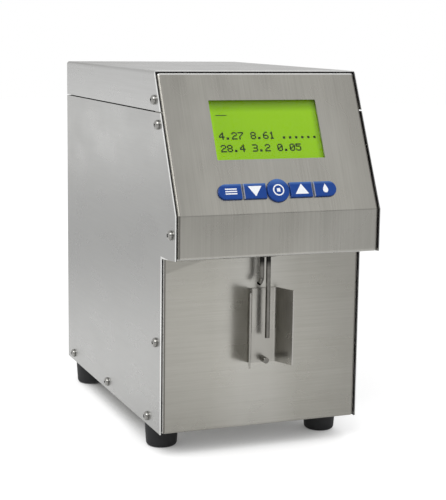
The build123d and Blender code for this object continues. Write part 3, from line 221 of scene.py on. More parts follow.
glow = add(cover, "ShaderNodeEmission", {"Color": colour("#FFFFFF"), "Strength": glow_level})
both = add(cover, "ShaderNodeAddShader", {0: matt.outputs[0], 1: glow.outputs[0]})
add(cover, "ShaderNodeOutputMaterial", {"Surface": both.outputs[0]})
table_mesh.materials.append(white_table)
table_top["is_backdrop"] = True


# Housing sheets: wrap, lid, display panel and base, folded from 1 mm stainless sheet that was
# brushed before it was bent, and screwed together. Brushing runs one way on each sheet. Bends carry
# painted highlights and painted lines of shade, and the sheared edges are painted dark as shade
# beside a painted highlight on their arris.
def new_finish(name):
    """A new material with its node tree, its Principled shader and its coordinates."""
    finish = bpy.data.materials.new(name)
    finish.use_nodes = True
    tree = finish.node_tree
    return finish, tree, tree.nodes["Principled BSDF"], add(tree, "ShaderNodeTexCoord")


def tint(finish, share, code):
    """Turns a finish's colour towards another one by a share from 0 to 1."""
    tree = finish.node_tree
    base = tree.nodes["Principled BSDF"].inputs["Base Color"]
    shade = add(tree, "ShaderNodeMix", {"Factor": share, 6: base.links[0].from_socket, 7: colour(code)},
                data_type="RGBA")
    tree.links.new(shade.outputs[2], base)


# directions, with the slope's own: into it, out of it and up it; and the places that marks are
# measured from
key_press = [joint for joint in frame["joints"] if joint["name"] == "enter_key_press"][0]
inward = Vector(key_press["axis"]).normalized()
outward = -inward
up_slope = Vector((0, outward.z, -outward.y))
to_left, to_right, to_rear, upwards, downwards = (-1, 0, 0), (1, 0, 0), (0, 1, 0), (0, 0, 1), (0, 0, -1)
mm = 0.001
middle = (0, 0, 0)
brow = Vector((0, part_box("display_panel")[0].y, 157 * mm))
throat = (0, 0, 129 * mm)
band_foot = (0, 0, 131.8 * mm)
lid_top = (0, 0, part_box("lid")[1].z)


def marks(finish, patches, join="MAXIMUM"):
    """Where a finish takes painted shade or painted light, from 0 to 1, by the object's own coordinates.

    A patch is a strength and the ramps that bound it. A ramp is a direction, a place to measure
    from, and the two distances in mm at which it is 0 and 1.
    """
    tree = finish.node_tree
    place = tree.nodes["Texture Coordinate"]
    levels = []
    for strength, *ramps in patches:
        level = strength
        for direction, zero, near, far in ramps:
            from_zero = add(tree, "ShaderNodeVectorMath", {0: place.outputs["Object"], 1: zero},
                            operation="SUBTRACT")
            reach = add(tree, "ShaderNodeVectorMath", {0: from_zero.outputs[0], 1: direction},
                        operation="DOT_PRODUCT")
            share = add(tree, "ShaderNodeMapRange", {"Value": reach.outputs["Value"],
                                                     "From Min": near * mm, "From Max": far * mm})
            level = add(tree, "ShaderNodeMath", {0: share.outputs[0], 1: level},
                        operation="MULTIPLY").outputs[0]
        levels.append(level)
    joined = levels[0]
    for level in levels[1:]:
        joined = add(tree, "ShaderNodeMath", {0: joined, 1: level}, operation=join).outputs[0]
    return joined


def both_sides(near, far):
    """Two ramps, one to each side of the machine's middle plane."""
    return [(side, middle, near, far) for side in (to_left, to_right)]


def facing_front(finish, low, high):
    """How far a surface faces the front, from 0 to 1 between two cosines."""
    tree = finish.node_tree
    facing = add(tree, "ShaderNodeVectorMath", {0: tree.nodes["Texture Coordinate"].outputs["Normal"],
                                                1: (0, -1, 0)}, operation="DOT_PRODUCT")
    return add(tree, "ShaderNodeMapRange", {"Value": facing.outputs["Value"], "From Min": low,
                                            "From Max": high}).outputs[0]


cloud_mm = 22
cloud_length_share = 0.8
cloud_share = 0.45


def brushed_sheet(name, streak_mm, dull, bright, scratch_depth, round_corners=False):
    """Brushed stainless sheet; streak_mm is how long a streak is along X, Y and Z.

    Real streaks are under 0.1 mm wide. They are drawn 0.7 to 0.9 mm wide so that they show, over
    wide clouds that turn the gloss a little.
    """
    finish, tree, skin, place = new_finish(name)
    on_sheet = place.outputs["Object"]
    if round_corners:
        round_corner = add(tree, "ShaderNodeVectorMath", {0: on_sheet, 1: (1, 1, 0)},
                           operation="DOT_PRODUCT")
        height = add(tree, "ShaderNodeSeparateXYZ", {0: on_sheet})
        on_sheet = add(tree, "ShaderNodeCombineXYZ", {"X": round_corner.outputs["Value"],
                                                      "Z": height.outputs["Z"]}).outputs[0]
    drawn = add(tree, "ShaderNodeMapping", {"Vector": on_sheet,
                                            "Scale": [1000 / length for length in streak_mm]})
    fine = add(tree, "ShaderNodeTexNoise", {"Vector": drawn.outputs[0], "Scale": 1.0, "Detail": 4.0,
                                            "Roughness": 0.7})
    cloud_sizes = [max(cloud_mm, length * cloud_length_share) for length in streak_mm]
    wide = add(tree, "ShaderNodeMapping", {"Vector": on_sheet,
                                           "Scale": [1000 / size for size in cloud_sizes]})
    cloud = add(tree, "ShaderNodeTexNoise", {"Vector": wide.outputs[0], "Scale": 1.0, "Detail": 2.0})
    tone = add(tree, "ShaderNodeMix", {"Factor": cloud_share, "A": fine.outputs["Fac"],
                                       "B": cloud.outputs["Fac"]}, data_type="FLOAT")
    spread = add(tree, "ShaderNodeMapRange", {"Value": tone.outputs[0], "From Min": 0.34,
                                              "From Max": 0.66})
    shade = add(tree, "ShaderNodeMix", {"Factor": spread.outputs[0], 6: colour(dull),
                                        7: colour(bright)}, data_type="RGBA")
    tree.links.new(shade.outputs[2], skin.inputs["Base Color"])
    rough = add(tree, "ShaderNodeMapRange", {"Value": cloud.outputs["Fac"], "From Min": 0.3,
                                             "From Max": 0.7, "To Min": 0.24, "To Max": 0.34})
    tree.links.new(rough.outputs[0], skin.inputs["Roughness"])
    scratch = add(tree, "ShaderNodeBump", {"Height": fine.outputs["Fac"], "Strength": scratch_depth,
                                           "Distance": 0.2 * mm})
    tree.links.new(scratch.outputs[0], skin.inputs["Normal"])
    skin.inputs["Metallic"].default_value = 1.0
    return finish


def shaded_cut_edges(finish):
    """The sheared edges that face the front, painted dark and less metallic as shade, inside the painted
    highlight on their arris.
    """
    tree = finish.node_tree
    outside = marks(finish, [(1, side) for side in both_sides(67.45, 67.60)]
                    + [(1, (upwards, lid_top, -0.55, -0.40))])
    inside = add(tree, "ShaderNodeMath", {0: 1.0, 1: outside}, operation="SUBTRACT")
    sheared = add(tree, "ShaderNodeMath", {0: facing_front(finish, 0.75, 0.85), 1: inside.outputs[0]},
                  operation="MULTIPLY")
    # painted shade: the sheared edges turn dark
    tint(finish, sheared.outputs[0], "#2B2B2C")
    bare = add(tree, "ShaderNodeMapRange", {"Value": sheared.outputs[0], "To Min": 1.0, "To Max": 0.3})
    tree.links.new(bare.outputs[0], tree.nodes["Principled BSDF"].inputs["Metallic"])


def dress(finish, *names):
    """Puts a finish on CAD nodes, in every slot they have."""
    for name in names:
        for slot in nodes[name].material_slots:
            slot.material = finish


# marks on more than one sheet: a painted highlight on the arris along the side sheets' front
# outline, and a painted line of shade just inside the upright bends
# the tones that painted shade and painted highlights are mixed towards
painted_shade_tone = "#74726D"
painted_light_tone = "#F8F8F6"
over_throat, under_throat = (upwards, throat, 0, 0.2), (upwards, throat, 0.2, 0)
arris_highlight = [(1, (to_rear, brow, 1.0, 0.3), over_throat), (1, (inward, brow, 1.0, 0.3), over_throat),
         (1, (to_rear, base_low, 1.0, 0.3), under_throat)]
bend_shade_lines = [(1, inner, outer) for inner, outer in zip(both_sides(64.7, 65.1), both_sides(66.0, 65.7))]

# the wrap: pale and even, streaks seen only close by, its upper rear painted a little darker as shade
wrap_steel = brushed_sheet("stainless sheet brushed along the sides", (60, 60, 0.9), "#ADADAB",
                           "#B5B5B3", 0.02, True)
tint(wrap_steel, marks(wrap_steel, [(0.17, (to_rear, middle, 0, 120), (upwards, middle, 130, 160))]),
     painted_shade_tone)
tint(wrap_steel, marks(wrap_steel, arris_highlight), painted_light_tone)
shaded_cut_edges(wrap_steel)
dress(wrap_steel, "body_wrap")

# the lid: its top painted darker than its turned-down sides as shade, darkest at the rear left
lid_steel = brushed_sheet("stainless sheet brushed along the lid", (0.9, 60, 0.9), "#B6B6B4",
                          "#C0C0BF", 0.02)
on_top = (upwards, lid_top, -1.4, -0.6)
tint(lid_steel, marks(lid_steel, [
    (0.27, on_top), (0.38, on_top, (to_left, middle, 0, 65), (to_rear, middle, 0, 80))], "ADD"), painted_shade_tone)
tint(lid_steel, marks(lid_steel, arris_highlight), painted_light_tone)
shaded_cut_edges(lid_steel)
dress(lid_steel, "lid", "lid_rail")

# the display panel: warm grey with streaks down the slope, painted darker as shade towards its
# sides and on the band's left and a little lighter on the band's right, with painted highlights on
# the outside of its upper and lower bend and painted lines of shade inside its side bends
under_brow, over_brow = (downwards, brow, 0, 0.4), (downwards, brow, 0.4, 0)
slope_steel = brushed_sheet("stainless sheet brushed down the slope", (0.8, 50, 50), "#A2A099",
                            "#B2B0A9", 0.012)
tint(slope_steel, marks(slope_steel, bend_shade_lines + [(0.20, side, over_brow) for side in both_sides(44, 62)]
                        + [(0.20, (to_left, middle, -10, 40), under_brow)]), painted_shade_tone)
tint(slope_steel, marks(slope_steel, [
    (1, (up_slope, brow, 90.6, 91.1)), (0.45, (downwards, band_foot, 0, 1.4)),
    (0.06, (to_right, middle, 10, 40), under_brow)]), painted_light_tone)
dress(slope_steel, "display_panel")

# the lower front: warm grey with level streaks, painted darker as shade at its ends, with the
# overhang's painted shadow under its left end, painted lines of shade inside and painted highlights
# on its side bends, and painted lighter about the guide
overhang_shadow_slant = (-0.29, 0, 0.957)
overhang_shadow_foot = (-67 * mm, 0, 116.2 * mm)
front_steel = brushed_sheet("stainless sheet brushed across", (45, 0.8, 0.8), "#A6A49C", "#B4B2AB", 0.015)
tint(front_steel, marks(front_steel, bend_shade_lines + [
    (0.40, (overhang_shadow_slant, overhang_shadow_foot, 0, 1.6))] + [(0.15, side) for side in both_sides(30, 60)]),
     painted_shade_tone)
tint(front_steel, marks(front_steel, [(0.8, side) for side in both_sides(65.7, 66.0)] + [
    (0.12, (to_right, middle, -34, -14), (to_left, middle, -25, -5))]), painted_light_tone)
dress(front_steel, "base_tray")


# Housing screws: M3 pan heads with a cross recess, turned stainless, drawn tight against the
# sheet. Their slots stop at any angle, as they do when a line is screwed together by hand.
def turned(profile, segments=28):
    """A turned mesh round Z from pairs of radius and height, closed at both ends."""
    work = bmesh.new()
    rings = []
    for radius, height in profile:
        if radius == 0:
            rings.append([work.verts.new((0, 0, height))] * segments)
        else:
            rings.append([work.verts.new((radius * cos(2 * pi * i / segments),
                                          radius * sin(2 * pi * i / segments), height))
                          for i in range(segments)])
    for lower, upper in zip(rings, rings[1:]):
        for i in range(segments):
            corners = [lower[i], lower[(i + 1) % segments], upper[(i + 1) % segments], upper[i]]
            work.faces.new(list(dict.fromkeys(corners)))
    bmesh.ops.recalc_face_normals(work, faces=work.faces)
    for face in work.faces:
        face.smooth = True
    return work


def as_object(work, name):
    """A bmesh as an object of the scene."""
    mesh = bpy.data.meshes.new(name)
    work.to_mesh(mesh)
    work.free()
    made = bpy.data.objects.new(name, mesh)
    scene.collection.objects.link(made)
    return made


def apply_modifiers(made):
    """Turns an object's modifiers into a plain mesh."""
    bpy.context.view_layer.update()
    solved = made.evaluated_get(bpy.context.evaluated_depsgraph_get())
    mesh = bpy.data.meshes.new_from_object(solved)
    made.modifiers.clear()
    made.data = mesh


def islands(name):
    """The lowest and highest corner of each separate solid of a CAD node."""
    work = bmesh.new()
    work.from_mesh(nodes[name].data)
    bmesh.ops.remove_doubles(work, verts=work.verts, dist=1e-6)
    left, found = set(work.verts), []
    while left:
        queue, group = [left.pop()], []
        while queue:
            vert = queue.pop()
            group.append(vert.co.copy())
            for link in vert.link_edges:
                other = link.other_vert(vert)
                if other in left:
                    left.discard(other)
                    queue.append(other)
        found.append((Vector([min(p[i] for p in group) for i in range(3)]),
                      Vector([max(p[i] for p in group) for i in range(3)])))
    work.free()
    return sorted(found, key=lambda pair: tuple(pair[0]))


# one head: a domed profile in mm, with two crossed wings cut out that narrow at their foot
head_height = 2.4 * mm
head_profile = [(0, 0), (2.95, 0), (3.0, 0.30), (2.96, 0.85), (2.80, 1.35), (2.48, 1.80), (2.0, 2.12),
                (1.40, 2.31), (0.70, 2.39), (0, 2.40)]
pan_head = as_object(turned([(radius * mm, height * mm) for radius, height in head_profile]), "pan_head")
wing_size = (3.6 * mm, 0.95 * mm, 2.8 * mm)
wing_middle = (0, 0, 2.3 * mm)
wing_foot_below = 1.5 * mm
foot_length_share, foot_width_share = 0.35, 0.7
recess = bmesh.new()
for turn in (0, pi / 2):
    wing = bmesh.ops.create_cube(recess, size=1)["verts"]
    bmesh.ops.scale(recess, verts=wing, vec=wing_size)
    bmesh.ops.translate(recess, verts=wing, vec=wing_middle)
    for vert in wing:
        if vert.co.z < wing_foot_below:
            vert.co.x *= foot_length_share
            vert.co.y *= foot_width_share
    bmesh.ops.rotate(recess, verts=wing, cent=(0, 0, 0), matrix=Matrix.Rotation(turn, 3, "Z"))
cutter = as_object(recess, "recess")
cut = pan_head.modifiers.new("recess", "BOOLEAN")
cut.operation = "DIFFERENCE"
cut.solver = "EXACT"
cut.use_self = True
cut.object = cutter
apply_modifiers(pan_head)
bpy.data.objects.remove(cutter)

# the recess's own faces are those well under the dome, within the wings' reach
wing_reach = 1.85 * mm
dome_radius = 3.4 * mm
dome_height = 0.97 * head_height
least_height, least_depth = 0.2 * mm, 0.1 * mm
sunken = pan_head.data.attributes.new("recess", "FLOAT", "FACE")
for face in pan_head.data.polygons:
    reach = max(abs(face.center.x), abs(face.center.y))
    dome = dome_height * (1 - (Vector(face.center[:2]).length / dome_radius) ** 2) ** 0.5
    in_recess = reach < wing_reach and least_height < face.center.z < dome - least_depth
    sunken.data[face.index].value = 1.0 if in_recess else 0.0


def grained(name, low_tone, high_tone, smooth, rough, grains_per_metre, detail):
    """A new finish of two close tones in a grain that also turns the gloss, and that grain.

    Real grain is 0.1 mm or finer. It is drawn at 0.7 mm and more so that it shows.
    """
    finish, tree, skin, place = new_finish(name)
    grain = add(tree, "ShaderNodeTexNoise", {"Vector": place.outputs["Object"], "Scale": grains_per_metre,
                                             "Detail": detail}).outputs["Fac"]
    shade = add(tree, "ShaderNodeMix", {"Factor": grain, 6: colour(low_tone), 7: colour(high_tone)},
                data_type="RGBA")
    tree.links.new(shade.outputs[2], skin.inputs["Base Color"])
    gloss = add(tree, "ShaderNodeMapRange", {"Value": grain, "To Min": smooth, "To Max": rough})
    tree.links.new(gloss.outputs[0], skin.inputs["Roughness"])
    return finish, grain


def metal(name, low_tone, high_tone, smooth, rough, grains_per_metre):
    """A plated, turned or blasted metal."""
    finish = grained(name, low_tone, high_tone, smooth, rough, grains_per_metre, 3.0)[0]
    finish.node_tree.nodes["Principled BSDF"].inputs["Metallic"].default_value = 1.0
    return finish


# bright turned steel with sharp highlights, and its cross recess painted dark as shade
screw_steel = metal("turned stainless screw", "#8E8D89", "#B2B1AE", 0.14, 0.26, 900.0)
recess_shade = add(screw_steel.node_tree, "ShaderNodeAttribute", attribute_name="recess")
tint(screw_steel, recess_shade.outputs["Fac"], "#232322")

# the tree that stands one head on each seat, along its facing, at an angle of its own
screw_tree = bpy.data.node_groups.new("screws on their seats", "GeometryNodeTree")
for socket, way, kind in (("Seats", "INPUT", "Geometry"), ("Head", "INPUT", "Object"),
                          ("Seed", "INPUT", "Int"), ("Finish", "INPUT", "Material"),
                          ("Screws", "OUTPUT", "Geometry")):
    screw_tree.interface.new_socket(socket, in_out=way, socket_type="NodeSocket" + kind)
given = add(screw_tree, "NodeGroupInput")
head = add(screw_tree, "GeometryNodeObjectInfo", {"Object": given.outputs["Head"]})
facing = add(screw_tree, "GeometryNodeInputNamedAttribute", {"Name": "facing"}, data_type="FLOAT_VECTOR")
upright = add(screw_tree, "FunctionNodeAlignRotationToVector", {"Vector": facing.outputs["Attribute"]},
              axis="Z")
angle = add(screw_tree, "FunctionNodeRandomValue", {"Min": 0.0, "Max": pi / 2,
                                                    "Seed": given.outputs["Seed"]}, data_type="FLOAT")
twist = add(screw_tree, "FunctionNodeAxisAngleToRotation", {"Axis": (0, 0, 1),
                                                            "Angle": angle.outputs["Value"]})
turned_to = add(screw_tree, "FunctionNodeRotateRotation", {
    "Rotation": upright.outputs[0], "Rotate By": twist.outputs[0]}, rotation_space="LOCAL")
stood = add(screw_tree, "GeometryNodeInstanceOnPoints", {
    "Points": given.outputs["Seats"], "Instance": head.outputs["Geometry"],
    "Rotation": turned_to.outputs[0]})
real = add(screw_tree, "GeometryNodeRealizeInstances", {0: stood.outputs[0]})
coat = add(screw_tree, "GeometryNodeSetMaterial", {"Geometry": real.outputs[0],
                                                   "Material": given.outputs["Finish"]})
add(screw_tree, "NodeGroupOutput", {"Screws": coat.outputs[0]})


def screws(name, seats, seed, node):
    """Pan heads on seats, each a place and the way it faces, standing for a CAD node."""
    mesh = bpy.data.meshes.new(name)
    mesh.from_pydata([seat for seat, facing in seats], [], [])
    toward = mesh.attributes.new("facing", "FLOAT_VECTOR", "POINT")
    for i, (seat, facing) in enumerate(seats):
        toward.data[i].vector = facing
    made = bpy.data.objects.new(name, mesh)
    scene.collection.objects.link(made)
    placed = made.modifiers.new("seats", "NODES")
    placed.node_group = screw_tree
    values = {"Head": pan_head, "Seed": seed, "Finish": screw_steel}
    for socket in screw_tree.interface.items_tree:
        if socket.in_out == "INPUT" and socket.name in values:
            placed[socket.identifier] = values[socket.name]
    apply_modifiers(made)
    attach(made, "housing")
    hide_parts(node)


side_seats = []
for low, high in islands("side_screws"):
    side = 1 if high.x + low.x > 0 else -1
    outer = high.x if side > 0 else low.x
    seat = (outer - side * head_height, (low.y + high.y) / 2, (low.z + high.z) / 2)
    side_seats.append((seat, (side, 0, 0)))
screws("side_screw_heads", side_seats, 4, "side_screws")
rear_seats = [(((low.x + high.x) / 2, high.y - head_height, (low.z + high.z) / 2), (0, 1, 0))
              for low, high in islands("rear_screws")]
screws("rear_screw_heads", rear_seats, 9, "rear_screws")
bpy.data.objects.remove(pan_head)
dress(screw_steel, "foot_screws", "base_screws", "frame_screws", "inner_nuts", "panel_studs",
      "transformer_bolt", "jack_screws")


# Feet: black moulded rubber bumpers with a steel washer in their recess, held by one M4 screw
# each from below. To the eye they are nearly black and matt, with a faint grain.
def moulded(name, low_tone, high_tone, roughness, grains_per_metre, grain_depth=0.05, lacquer=0.0):
    """A moulded plastic or rubber with a slight texture, its gloss a little uneven."""
    finish, grain = grained(name, low_tone, high_tone, roughness - 0.05, roughness + 0.07,
                            grains_per_metre, 4.0)
    tree = finish.node_tree
    skin = tree.nodes["Principled BSDF"]
    texture = add(tree, "ShaderNodeBump", {"Height": grain, "Strength": grain_depth, "Distance": 0.2 * mm})
    tree.links.new(texture.outputs[0], skin.inputs["Normal"])
    skin.inputs["Coat Weight"].default_value = lacquer
    return finish


dress(moulded("moulded black rubber", "#0F1012", "#1B1C1F", 0.62, 1400, 0.2), "feet")


# Cup guide: a stainless strip folded into a flat back with two flared wings, spot-welded to the
# lower front. Its wings are brushed upright and mirror the dim room, its flat back is painted
# lighter where it faces the front, and the flare's outer edge has a painted highlight.
guide_steel = brushed_sheet("stainless strip brushed upright", (0.7, 0.7, 40), "#85837D", "#B4B2AC", 0.12)
guide_end = (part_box("cup_guide")[1].x, 0, 0)
tint(guide_steel, facing_front(guide_steel, 0.85, 0.97), "#ABA9A3")
tint(guide_steel, marks(guide_steel, [(0.75, (to_right, guide_end, -6.0, -1.5))]), "#D2D0CB")
dress(guide_steel, "cup_guide")


# Tubes and peg: the long intake tube, the short bent outlet tube and the guide's peg, drawn
# stainless steel, bright and smooth along their length. Where the tubes leave the rubber grommet
# they are painted nearly black as shade.
dress(metal("bright drawn stainless tube", "#62605C", "#83817C", 0.12, 0.22, 300),
      "cell_nipples", "pump_shaft", "cup_peg")
grommet_shaded_tube = metal("bright drawn stainless tube, painted shade at its grommet", "#62605C", "#83817C", 0.12, 0.22, 300)
tint(grommet_shaded_tube, marks(grommet_shaded_tube, [(1, (upwards, middle, 120.5, 124.5))]), "#232321")
dress(grommet_shaded_tube, "intake_tube", "outlet_tube")
# dark grey and matt, a shade lighter than the feet
dress(moulded("moulded grey rubber", "#2A2A2C", "#3A3A3D", 0.6, 1400, 0.2), "tube_grommet")


# Display: a clear acrylic pane on weld studs behind the panel's window, and behind it a metal
# bezel with the yellow-green display glass, its backlight and its circuit board.
def on_slope(side, rise, out):
    """A place on the slope: mm to the right, mm up it and mm out of its face."""
    return brow + Vector((side * mm, 0, 0)) + up_slope * (rise * mm) + outward * (out * mm)


# clear and almost unseen; real acrylic has an IOR of 1.49, and 1.25 keeps the mirrored room from
# bleaching the display behind it
pane, tree, skin, place = new_finish("clear cast acrylic")
skin.inputs["Base Color"].default_value = colour("#F4F8F4")
skin.inputs["Transmission Weight"].default_value = 1.0
skin.inputs["IOR"].default_value = 1.25
film = add(tree, "ShaderNodeTexNoise", {"Vector": place.outputs["Object"], "Scale": 60.0, "Detail": 2.0})
haze = add(tree, "ShaderNodeMapRange", {"Value": film.outputs["Fac"], "To Min": 0.0, "To Max": 0.005})
tree.links.new(haze.outputs[0], skin.inputs["Roughness"])
dress(pane, "display_window")

# a dull black frame that ends the light round the glass
dress(metal("black-chromed steel bezel", "#1C1D1F", "#2C2D30", 0.35, 0.5, 500), "display_bezel")

# an even yellow-green light, with painted shade along the window's upper and right edge and a painted
# brighter strip at its left end
lit_cell, tree, skin, place = new_finish("lit yellow-green display glass")
unevenness = add(tree, "ShaderNodeTexNoise", {"Vector": place.outputs["Object"], "Scale": 14.0,
                                              "Detail": 1.0})
lit = add(tree, "ShaderNodeMix", {"Factor": unevenness.outputs["Fac"], 6: colour("#8CC006"),
                                  7: colour("#A6DA08")}, data_type="RGBA")
light = 1.0
for ramp, shaded_level, full_level in (((up_slope, brow, 75.8, 67.0), 0.12, 1.0),
                                       ((to_right, middle, 37.6, 32.8), 0.36, 1.0),
                                       ((to_right, middle, -32.2, -34.5), 0.86, 0.98)):
    level = add(tree, "ShaderNodeMapRange", {"Value": marks(lit_cell, [(1, ramp)]),
                                             "To Min": shaded_level, "To Max": full_level})
    light = add(tree, "ShaderNodeMath", {0: level.outputs[0], 1: light}, operation="MULTIPLY").outputs[0]
tree.links.new(lit.outputs[2], skin.inputs["Emission Color"])
tree.links.new(light, skin.inputs["Emission Strength"])
skin.inputs["Base Color"].default_value = colour("#1C2C08")
skin.inputs["Roughness"].default_value = 0.25
skin.inputs["Specular IOR Level"].default_value = 0.08
dress(lit_cell, "display_glass")

# the reading: plain numbers in 5 by 7 dots, and a dash for the cursor, in mm on the slope
digits = {
    "0": "01110 10001 10011 10101 11001 10001 01110", "1": "00100 01100 00100 00100 00100 00100 01110",
    "2": "01110 10001 00001 00110 01000 10000 11111", "3": "11110 00001 00001 01110 00001 00001 11110",
    "4": "00010 00110 01010 10010 11111 00010 00010", "5": "11111 10000 11110 00001 00001 10001 01110",
    "6": "00110 01000 10000 11110 10001 10001 01110", "7": "11111 00001 00010 00100 01000 01000 01000",
    "8": "01110 10001 10001 01110 10001 10001 01110", ".": "00000 00000 00000 00000 00000 01100 01100",
    " ": "00000 00000 00000 00000 00000 00000 00000",
}
character_pitch = 4.17
first_middle = -29.6
column_pitch = 0.70
dot_rise = 0.67
dot_overlap = 0.24
middle_column, top_line = 2, 6.5
sheet_thickness, pane_thickness, air_gap, bezel_thickness = 1.0, 1.5, 0.3, 0.5
glass_out = -(sheet_thickness + pane_thickness + air_gap + bezel_thickness)
ink_lift = 0.06
cursor_start, cursor_rise, cursor_pitch, cursor_dots = -31.2, 64.9, 0.66, 11
cursor_dot_size = (0.64, 0.62)
dots = bmesh.new()


def dot(side, rise, wide, tall):
    """One driven dot of the display, just in front of its glass."""
    corners = [on_slope(side + dx * wide / 2, rise + dy * tall / 2, glass_out + ink_lift)
               for dx, dy in ((-1, -1), (1, -1), (1, 1), (-1, 1))]
    dots.faces.new([dots.verts.new(corner) for corner in corners])


for text, row_foot in (("4.27 8.61 ......", 49.0), ("28.4 3.2 0.05", 40.8)):
    for place_in_row, sign in enumerate(text):
        for line, pattern in enumerate(digits[sign].split()):
            for column, on in enumerate(pattern):
                if on == "1":
                    dot(first_middle + place_in_row * character_pitch
                        + (column - middle_column) * column_pitch,
                        row_foot + (top_line - line) * dot_rise,
                        column_pitch + dot_overlap, dot_rise + dot_overlap)
for column in range(cursor_dots):
    dot(cursor_start + column * cursor_pitch, cursor_rise, *cursor_dot_size)
bmesh.ops.recalc_face_normals(dots, faces=dots.faces)
if sum((face.normal for face in dots.faces), Vector()).dot(outward) < 0:
    bmesh.ops.reverse_faces(dots, faces=dots.faces)
reading = as_object(dots, "display_reading")

# dark green rather than black, as a driven dot is on a lit cell
ink, tree, skin, place = new_finish("dark display dots")
grid = add(tree, "ShaderNodeTexNoise", {"Vector": place.outputs["Object"], "Scale": 400.0, "Detail": 1.0})
dark = add(tree, "ShaderNodeMix", {"Factor": grid.outputs["Fac"], 6: colour("#0A1C05"),
                                   7: colour("#112708")}, data_type="RGBA")
tree.links.new(dark.outputs[2], skin.inputs["Base Color"])
skin.inputs["Roughness"].default_value = 0.6
skin.inputs["Specular IOR Level"].default_value = 0.2
reading.data.materials.append(ink)
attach(reading, "housing")

# a milky white block behind the glass
dress(moulded("white diffuser plastic", "#E6E7E4", "#F0F1EE", 0.5, 300), "display_backlight")

# boards: green solder mask over glass cloth, half gloss, with the pattern of tracks faint under
# it; real tracks lie 0.5 mm apart, and these are drawn 4 mm apart so that they show
green_board, tree, skin, place = new_finish("green circuit board")
cells = add(tree, "ShaderNodeTexVoronoi", {"Vector": place.outputs["Object"], "Scale": 260.0},
            distance="MANHATTAN", feature="DISTANCE_TO_EDGE")
tracks = add(tree, "ShaderNodeMapRange", {"Value": cells.outputs["Distance"], "From Min": 0.04,
                                          "From Max": 0.08})
mask = add(tree, "ShaderNodeMix", {"Factor": tracks.outputs[0], 6: colour("#1F6B3C"),
                                   7: colour("#134B2B")}, data_type="RGBA")
tree.links.new(mask.outputs[2], skin.inputs["Base Color"])
skin.inputs["Roughness"].default_value = 0.35
raised = add(tree, "ShaderNodeBump", {"Height": tracks.outputs[0], "Strength": 0.1, "Distance": 0.1 * mm})
tree.links.new(raised.outputs[0], skin.inputs["Normal"])
dress(green_board, "display_board", "key_board", "main_board")


# Keys: blue moulded plastic caps with rounded edges that stand 1.8 mm out of the slope, with
# white signs printed on them: lines, a triangle down, a ring, a triangle up and a drop. The blue
# is deep and half glossy, with a painted highlight on the caps' upper edges, and is painted paler
# at their ends beside the gaps between them.
key_blue = moulded("glossy blue moulded plastic", "#0F3A86", "#164591", 0.34, 500, 0.03)
key_blue.node_tree.nodes["Principled BSDF"].inputs["Specular IOR Level"].default_value = 0.25
# painted paler at the key ends beside the gaps
tint(key_blue, marks(key_blue, [(1, inner, outer) for inner, outer in zip(
    both_sides(22.30, 22.42), both_sides(24.40, 24.28))]), "#8F93A0")
# painted highlight along the caps' upper edges
tint(key_blue, marks(key_blue, [(0.7, side, (up_slope, brow, 17.0, 18.7)) for side in both_sides(7.4, 7.8)]
                     + [(0.7, *both_sides(7.8, 7.4), (up_slope, brow, 16.5, 21.5))]), "#5C83BE")
dress(key_blue, "left_end_key", "down_key", "enter_key", "up_key", "right_end_key")

# clean, slightly cool white that lies thin on the caps
white_ink = moulded("white pad-printed ink", "#E9ECF2", "#F6F8FB", 0.45, 900)
key_rise = 13.95
key_proud = 1.8
print_lift = 0.03
end_key, side_key = 31.5, 15.4


def printed(body, outlines):
    """Flat white signs on a key's top, each an outline of places in mm from the key row's middle."""
    work = bmesh.new()
    for outline in outlines:
        work.faces.new([work.verts.new(on_slope(side, key_rise + rise, key_proud + print_lift))
                        for side, rise in outline])
    bmesh.ops.recalc_face_normals(work, faces=work.faces)
    for face in work.faces:
        if face.normal.dot(outward) < 0:
            face.normal_flip()
    sign = as_object(work, body + "_sign")
    sign.data.materials.append(white_ink)
    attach(sign, body)


def bar(side, rise, wide, tall):
    """A straight bar as an outline."""
    return [(side - wide / 2, rise - tall / 2), (side + wide / 2, rise - tall / 2),
            (side + wide / 2, rise + tall / 2), (side - wide / 2, rise + tall / 2)]


def ring(inner, outer, steps=24):
    """A ring between two radii, in pieces."""
    pieces = []
    for i in range(steps):
        a, b = (radians(360 * (i + j) / steps) for j in (0, 1))
        pieces.append([(inner * cos(a), inner * sin(a)), (outer * cos(a), outer * sin(a)),
                       (outer * cos(b), outer * sin(b)), (inner * cos(b), inner * sin(b))])
    return pieces


def triangle(side, half_width, foot, tip):
    """An upright triangle from the height of its foot to that of its tip."""
    return [(side - half_width, foot), (side, tip), (side + half_width, foot)]


printed("left_end_key", [bar(-end_key + 0.4, rise, 7.6, 0.75) for rise in (-1.5, 0, 1.5)])
printed("down_key", [triangle(-side_key, 4.5, 3.0, -3.6)])
printed("enter_key", ring(2.9, 3.7) + [bar(0, 0, 2.2, 2.2)])
printed("up_key", [triangle(side_key, 4.5, -3.0, 3.6)])
drop_width, drop_height = 2.5, 2.9
drop = [(end_key + drop_width * sin(radians(a)) * sin(radians(a / 2)) ** 1.5,
         0.3 + drop_height * cos(radians(a))) for a in range(0, 360, 15)]
printed("right_end_key", [drop])

# switches: near black, half matt; spacers and rollers: ivory, waxy
dress(moulded("black switch plastic", "#1B1B1D", "#2A2A2D", 0.45, 600), "key_switches")
dress(moulded("natural nylon", "#D9D5C8", "#E6E2D6", 0.5, 400), "panel_spacers", "pump_roller_1",
      "pump_roller_2", "pump_roller_3")


# Inner frame: a zinc-plated bent plate that carries the measuring cell, an acetal block with an
# ultrasonic transducer at each end, and the peristaltic pump with its gear motor.
# zinc: pale blue-grey, half matt, with soft clouds
dress(metal("zinc-plated steel sheet", "#9FA3A6", "#BEC2C4", 0.3, 0.46, 120), "inner_frame",
      "chassis_shelf")
